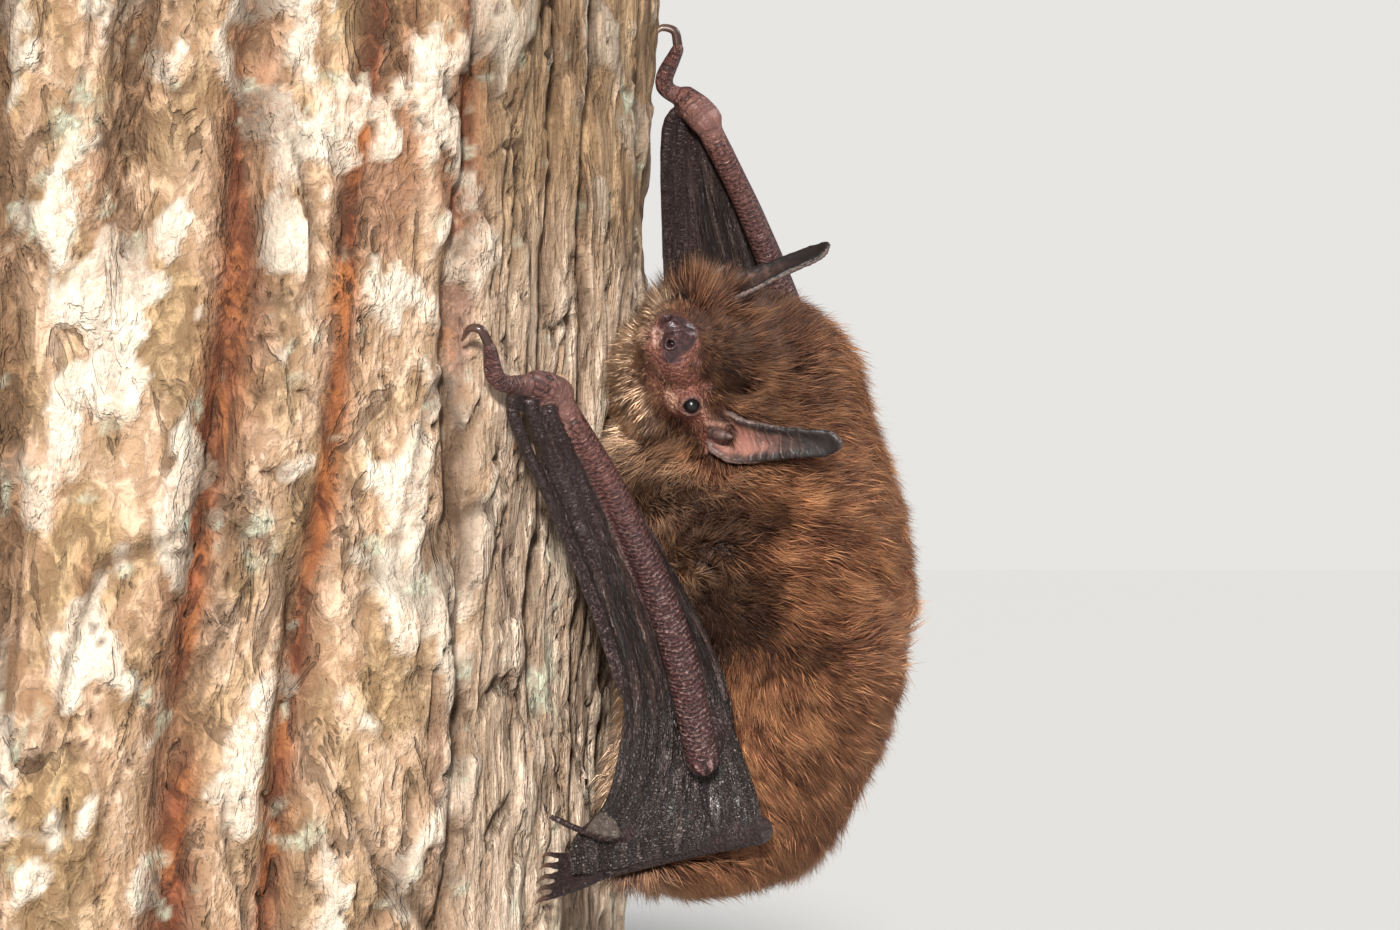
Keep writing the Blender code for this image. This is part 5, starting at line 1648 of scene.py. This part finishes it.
def coat_pieces(kind, paths, width, bent):
    """Closed tufts along the given paths, split by region into pieces of moderate size."""
    line = [paths[name] for name in (("low", "middle", "tips") if bent else ("low", "tips"))]
    stations = len(line)
    regions = coat_regions(paths["roots"])
    rng = np.random.default_rng(stations)
    width = width * np.clip(paths["size"] * 1.15, 0.52, 1.0) * rng.uniform(0.7, 1.25, len(regions))
    pieces = []
    for name in sorted(set(regions.tolist())):
        chosen = np.nonzero(regions == name)[0]
        parts = max(1, -(-len(chosen) * (6 * stations - 8) // PIECE_TRIANGLES))
        for part, index in enumerate(np.array_split(chosen, parts)):
            centres = np.stack([v[index] for v in line], 1)
            widths = np.stack([width[index] * (1 - 0.2 * k) for k in range(stations - 1)], 1)
            obj = spikes(f"coat_{name}_{kind}_{part + 1}", centres, widths, 100 + part)
            add_unwrap(obj.data, paths["roots"][index], stations)
            for mark in ("tone", *COAT_MARKS):
                store(obj.data, mark, np.repeat(paths[mark][index], 3 * stations - 2))
            store(obj.data, "along", np.tile(up_the_tuft(stations), len(index)))
            pieces.append(obj)
    return pieces


def make_coat(coat, depth):
    """The furred coat: tufts and fine hairs, kept clear of wings, ears and bark."""
    flesh, parts = flesh_object(depth), bare_parts()
    flesh = joined("coat_ground", [flesh, *parts.pop("tail")])
    trees = {kind: tree_of(objs) for kind, objs in parts.items()}
    width = coat.width / MM
    tufts = coat_paths(coat, flesh, trees, coat.tufts, 41)
    pieces = coat_pieces("tufts", tufts, width, True)
    hairs = coat_paths(coat, flesh, trees, coat.hairs, 83)
    bow = hairs["middle"] - (hairs["low"] + hairs["tips"]) / 2
    hairs["tips"] = hairs["tips"] + bow * 0.35
    pieces += coat_pieces("hairs", hairs, width * HAIR_SHARE, False)
    for obj in (flesh, *(o for objs in parts.values() for o in objs)):
        bpy.data.objects.remove(obj, do_unlink=True)
    return pieces


def coat_regions(roots):
    """The name of the coat piece that each root belongs to."""
    names = np.where(roots[:, 2] > 60, "chest", np.where(roots[:, 2] > 45, "belly", "rump"))
    names = np.where(roots[:, 2] > 75, "neck", names)
    return np.where(distance(into(HEAD, roots), HEAD_BALL) < 9.6, "head", names)


# ---------------------------------------------------------------- trunk

def grain_field(x, y, z, seed):
    return np.array([noise.noise(Vector((a, b, c))) for a, b, c in zip(
        (x + seed).ravel(), y.ravel(), z.ravel())]).reshape(x.shape)


# Places on the bark as in near_places. A rust furrow has its angle, drift, half width and seed.
RUST_PLACES = (((47.0, 96.0), (3.0, 10.0), 0.75), ((43.0, 83.0), (4.5, 4.0), 0.6))
RUST_FURROWS = ((71.0, -4.0, 0.052, 0.0), (44.5, 1.2, 0.040, 1.7), (59.5, -4.0, 0.030, 2.9))
CREAM_PLACES = (
    ((84.0, 84.0), (6.5, 13.0), 0.42), ((76.5, 58.0), (4.5, 8.0), 0.30),
    ((36.0, 90.0), (2.0, 3.5), 0.35), ((64.0, 101.0), (5.0, 10.0), 0.20),
    ((88.0, 48.0), (4.0, 10.0), 0.28), ((52.0, 62.0), (4.0, 8.0), 0.16),
)
LICHEN_PLACES = (
    ((14.0, 103.5), (2.2, 2.2)), ((27.0, 54.0), (2.8, 3.6)), ((61.0, 42.5), (1.8, 2.0)),
    ((66.0, 66.0), (1.6, 2.4)), ((38.0, 107.0), (1.8, 1.6)), ((86.0, 100.0), (2.0, 3.0)),
)


def near_places(angle, height, places):
    """Soft spots on the bark: ((degrees, height), (half sizes in degrees and mm), strength)."""
    found = np.zeros_like(angle)
    for (at, up), (wide, tall), *strength in places:
        away = np.hypot((np.degrees(angle) - at) / wide, (height - up) / tall)
        found = np.maximum(found, (strength[0] if strength else 1.0) * ease(1.5, 0.4, away))
    return found


def trunk_surface(trunk, angle, height):
    """The bark's fine relief in millimetres, with masks of its colours, on a grid of places."""
    c, s = np.cos(angle) * LOG_RADIUS, np.sin(angle) * LOG_RADIUS
    sway = 2.2 * grain_field(c / 16, s / 16, height / 30, 5.0)
    c, s = c + sway, s - sway

    def grain(wide, tall, seed):
        return grain_field(c / wide, s / wide, height / tall, seed)

    side = ease(0.85, 0.45, np.abs(angle - 0.10))
    broad, narrow = grain(6.5, 17, 9.0), grain(2.3, 15, 17.0)
    plate = mix(broad, narrow, side)
    crack = (ease(0.085, 0.012, np.abs(plate)) * ease(-0.4, 0.15, grain(16, 11, 2.0))
             * mix(0.75, 1.0, side))
    cracklets = grain(2.6, 6.5, 23.0)
    crack = np.maximum(crack, 0.8 * ease(0.06, 0.01, np.abs(cracklets)) * ease(0.05, 0.3, broad + 0.1))
    flakes = (grain(4.4, 7.5, 31.0) + 0.45 * grain(1.7, 2.6, 37.0)
              + near_places(angle, height, CREAM_PLACES))
    flake = ease(0.26, 0.36, flakes) * mix(1.0, 0.55, side)
    streak = grain(5.5, 40, 61.0) + 0.30 * grain(1.5, 9, 67.0)
    rust = np.maximum(0.6 * ease(0.34, 0.60, streak),
                      near_places(angle, height, RUST_PLACES) * ease(-0.3, 0.2, broad))
    for at, drift, width, seed in RUST_FURROWS:
        line = np.radians(at + drift * (height - LOG_MIDDLE) / LOG_HALF)
        band = hump(angle - line, 0.012 * np.sin(height / 8.0 + seed), width)
        rust = np.maximum(rust, band * ease(-0.35, 0.1, streak + 0.15) * 1.1)
    rust = np.clip(rust * (1 - flake * 0.85), 0, 1)
    _, nearest = furrow_masks(angle, height, 1.25)
    upwards = height + 5.0 * broad
    shade = np.clip(nearest * 1.1 - rust * 0.8, 0, 1) * ease(-0.35, 0.1, cracklets + 0.25)
    # painted shade: the fibrous side darker towards its top
    shade = np.maximum(shade, 0.55 * side * ease(86.0, 97.0, upwards) * ease(-0.5, 0.3, narrow))
    olive = np.maximum(ease(0.02, 0.30, grain(8.0, 12, 71.0)) * (1 - 0.5 * side),
                       0.7 * ease(0.10, 0.3, grain(3.0, 5.0, 73.0)))
    # painted shade: darker olive towards the top of the fibrous side
    olive = np.maximum(olive, 0.8 * side * ease(84.0, 96.0, upwards))
    spots = grain(1.6, 1.9, 83.0)
    lichen = np.maximum(ease(0.42, 0.52, spots) * ease(0.1, 0.4, flakes + 0.2) * 0.7,
                        near_places(angle, height, LICHEN_PLACES) * ease(-0.15, 0.15, spots))
    fibre, crumbs = grain(0.9, 4.0, 47.0), grain(0.8, 1.2, 53.0)
    relief = (0.72 * plate + 0.40 * flake + mix(0.05, 0.12, side) * fibre + 0.12 * crumbs
              + 0.35 * flakes - mix(0.90, 0.72, side) * crack - 0.30 * rust)
    return relief * trunk.relief / MM, {
        "crack": crack, "flake": flake, "rust": rust, "lichen": lichen, "shade": shade, "olive": olive,
        # painted light: the fibrous side paler towards its bottom
        "fibrous": side, "weather": side * ease(98.0, 84.0, upwards)}


def make_trunk(trunk):
    """The perch: bark with plates, flakes and fissures, and two sawn ends."""
    low, high = (v[2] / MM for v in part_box("perch_trunk"))
    angles = np.linspace(0, 2 * math.pi, trunk.columns, endpoint=False) - math.pi
    angle, height = np.meshgrid(angles, np.linspace(low, high, trunk.rows + 1))
    relief, masks = trunk_surface(trunk, angle, height)
    edge = ease(low, low + SAWN_EDGE, height) * ease(high, high - SAWN_EDGE, height)
    radius = LOG_RADIUS + bark_relief(angle, height) + relief - 0.35 - 0.5 * (1 - edge)
    shares = np.linspace(0.01, 1, SAWN_RINGS + 1)[:-1]
    bottom, top = radius[:1] * shares[:, None], radius[-1:] * shares[::-1, None]
    radius = np.vstack((bottom, radius, top))
    height = np.vstack((np.full_like(bottom, low), height, np.full_like(top, high)))
    points = np.stack((log_axis(height) + radius * np.cos(angles), -radius * np.sin(angles),
                       height), -1)
    obj = mesh_from("trunk_bark", points.reshape(-1, 3), ring_faces(*radius.shape)[:, ::-1])
    with shaping(obj.data) as shape:
        fill_holes(shape)
        bmesh.ops.triangulate(shape, faces=[f for f in shape.faces if len(f.verts) > 4])
    obj.data.shade_smooth()
    obj.data.set_sharp_from_angle(angle=math.radians(62))
    blank = np.zeros_like(bottom)
    for name, values in masks.items():
        store(obj.data, name, np.vstack((blank, values, blank)).ravel())
    store(obj.data, "sawn", np.vstack((blank + 1, np.zeros_like(edge), blank + 1)).ravel())
    store(obj.data, "radius", radius.ravel())
    return obj


# ---------------------------------------------------------------- small pieces

def make_eye(name, side):
    """A wet black eye with a faint bulge."""
    mesh = bpy.data.meshes.new(name)
    centre = Vector(out_of(HEAD, mirrored(EYE_PLACE, side)))
    axis = Vector(unit(mirrored(EYE_WAY, side) @ HEAD[1]))
    rims = []
    with shaping(mesh) as shape:
        bmesh.ops.create_icosphere(shape, subdivisions=5, radius=EYE_RADIUS * MM)
        for vert in shape.verts:
            facing = max(vert.co.normalized().dot(axis), 0.0)
            rims.append(1 - facing)
            vert.co += axis * (0.03 * MM * facing ** 4)
            vert.co += centre * MM
    mesh.shade_smooth()
    store(mesh, "rim", rims)
    return placed(name, mesh)


def make_claw(name, line, radii):
    obj = tube(name, line, radii, sides=12, flat=0.8)
    _, along = along_line(corners(obj.data), line, radii)
    store(obj.data, "along", along / max(along.max(), 0.01))
    return obj


def toe_claws(side):
    """Curved claws at the ends of five toes, joined."""
    made = []
    for i, toe in enumerate(toe_lines(LEGS[side])):
        start, way = toe[-1], unit(toe[-1] - toe[-3])
        line = spline_through([start - way * 0.2, start + way * 0.40 + (0.05, -0.05, 0.08),
                               start + way * 0.80, start + way * 1.0 + (-0.1, 0.1, -0.25)], 10)
        made.append(make_claw(f"claw_{i}", line, stepped(TOE_CLAW_RADII, 10)))
    shares = np.concatenate([[d.value for d in o.data.attributes["along"].data] for o in made])
    obj = joined(f"toe_claws_{side}", made)
    obj.data.attributes.remove(obj.data.attributes["along"])
    store(obj.data, "along", shares)
    obj.data.shade_smooth()
    return obj


def sun_light(name, place, power, softness, colour=(1.0, 1.0, 1.0)):
    """A far light that shines from a place towards the model, with the given softness in degrees."""
    data = bpy.data.lights.new(name, "SUN")
    data.energy, data.angle, data.color = power, math.radians(softness), colour
    obj = placed(name, data)
    obj.location = place
    obj.rotation_euler = Vector(place).to_track_quat("Z", "Y").to_euler()


# ---------------------------------------------------------------- operators

FLESH_NODES = sorted(
    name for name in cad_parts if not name.startswith(("stand_", "perch_", "eye_", "thumb_claw_"))
)


def dress(obj, finish, slot, *nodes):
    """Gives a piece its finish, its body and the solids that it stands for; the slot is not used."""
    obj.data.materials.clear()
    obj.data.materials.append(shared_materials()[finish])
    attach(obj, "root")
    if nodes:
        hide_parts(*nodes)


class BAT_OT_trunk(bpy.types.Operator):
    """Make the bark-covered perch with its sawn ends"""

    bl_idname = "bat.make_trunk"
    bl_label = "Make Trunk"

    def execute(self, context):
        dress(make_trunk(context.scene.bat_trunk), "bark_rough", "bark", "perch_trunk")
        return {"FINISHED"}


class BAT_OT_skin(bpy.types.Operator):
    """Make the bat's skin in one piece, from nose to toes"""

    bl_idname = "bat.make_skin"
    bl_label = "Make Skin"

    def execute(self, context):
        dress(make_skin(context.scene.bat_skin), "bat_skin", "wing_skin", *FLESH_NODES)
        return {"FINISHED"}


class BAT_OT_eyes(bpy.types.Operator):
    """Make the two wet black eyes"""

    bl_idname = "bat.make_eyes"
    bl_label = "Make Eyes"

    def execute(self, context):
        for name, side in SIDES.items():
            dress(make_eye(f"eye_wet_{name}", side), "eye_wet", "eye_black", f"eye_{name}")
        return {"FINISHED"}


class BAT_OT_claws(bpy.types.Operator):
    """Make the thumb claws and the toe claws"""

    bl_idname = "bat.make_claws"
    bl_label = "Make Claws"

    def execute(self, context):
        for side, arm in ARMS.items():
            claw = make_claw(f"claw_{side}", spline_through(arm["claw"], 24), stepped(CLAW_RADII, 24))
            dress(claw, "claw_dark", "claw_horn", f"thumb_claw_{side}")
            dress(toe_claws(side), "claw_dark", "claw_horn")
        return {"FINISHED"}


class BAT_OT_coat(bpy.types.Operator):
    """Make the coat out of small solid tufts"""

    bl_idname = "bat.make_coat"
    bl_label = "Make Coat"

    def execute(self, context):
        scene = context.scene
        for piece in make_coat(scene.bat_coat, scene.bat_skin.body_depth / MM):
            dress(piece, "coat_fur", "fur")
        return {"FINISHED"}


class BAT_OT_stand(bpy.types.Operator):
    """Paint the display stand satin black"""

    bl_idname = "bat.finish_stand"
    bl_label = "Finish Stand"

    def execute(self, context):
        paint = shared_materials()["stand_satin"]
        for name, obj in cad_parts.items():
            if name.startswith("stand_"):
                for place in obj.material_slots:
                    place.link = "OBJECT"
                    place.material = paint
        return {"FINISHED"}


class BAT_OT_stage(bpy.types.Operator):
    """Set up the pale floor, the soft lights and the camera"""

    bl_idname = "bat.make_stage"
    bl_label = "Make Stage"

    def execute(self, context):
        scene, settings = context.scene, context.scene.bat_stage
        half = FLOOR_HALF
        floor = mesh_from("stage_floor", [(-half, -half, 0), (half, -half, 0), (half, half, 0),
                                          (-half, half, 0)], [(0, 1, 2, 3)])
        floor.data.materials.append(shared_materials()["stage_floor"])
        scene.view_settings.view_transform = "Standard"
        world = bpy.data.worlds.new("studio")
        scene.world = world
        world.use_nodes = True
        light = Finish(world, world.node_tree, world.node_tree.nodes["Background"])
        seen = light.node("LightPath", "Is Camera Ray", {})
        light.finished(Color=light.mix(seen, settings.ambient, settings.floor))
        sun_light("key", (-0.04, -0.93, 0.34), settings.key, 7.0, (1.0, 0.985, 0.95))
        sun_light("rim", (0.75, 0.35, 0.55), settings.key * 0.22, 20.0)
        camera = bpy.data.cameras.new("camera")
        camera.sensor_width = SENSOR_WIDTH
        camera.lens = SENSOR_WIDTH * settings.distance / settings.view_width
        camera.clip_start, camera.clip_end = 0.01, 20.0
        scene.camera = placed("camera", camera)
        scene.camera.location = (VIEW_CENTRE[0] * MM, -settings.distance, VIEW_CENTRE[1] * MM)
        scene.camera.rotation_euler = (math.radians(90.0), 0.0, 0.0)
        return {"FINISHED"}


OPERATORS = (BAT_OT_trunk, BAT_OT_skin, BAT_OT_eyes, BAT_OT_claws, BAT_OT_coat, BAT_OT_stand,
             BAT_OT_stage)


class BAT_PT_panel(bpy.types.Panel):
    """The bat's operators and settings"""

    bl_idname = "BAT_PT_panel"
    bl_label = "Brown Bat on a Trunk"
    bl_space_type = "VIEW_3D"
    bl_region_type = "UI"
    bl_category = "Bat"

    def draw(self, context):
        for operator in OPERATORS:
            self.layout.operator(operator.bl_idname)
        for name in SETTINGS:
            settings = getattr(context.scene, name)
            box = self.layout.box()
            for key in settings.__annotations__:
                box.prop(settings, key)


SETTINGS = {"bat_skin": BatSkinSettings, "bat_coat": BatCoatSettings, "bat_trunk": TrunkSettings,
            "bat_stage": StageSettings}
CLASSES = (*SETTINGS.values(), *OPERATORS, BAT_PT_panel)


def register():
    for kind in CLASSES:
        bpy.utils.register_class(kind)
    for name, kind in SETTINGS.items():
        setattr(bpy.types.Scene, name, PointerProperty(type=kind))


def unregister():
    for name in SETTINGS:
        delattr(bpy.types.Scene, name)
    for kind in reversed(CLASSES):
        bpy.utils.unregister_class(kind)


def main():
    register()
    bpy.ops.bat.make_trunk()
    bpy.ops.bat.make_skin()
    bpy.ops.bat.make_eyes()
    bpy.ops.bat.make_claws()
    bpy.ops.bat.make_coat()
    bpy.ops.bat.finish_stand()
    bpy.ops.bat.make_stage()


if __name__ == "__main__":
    main()
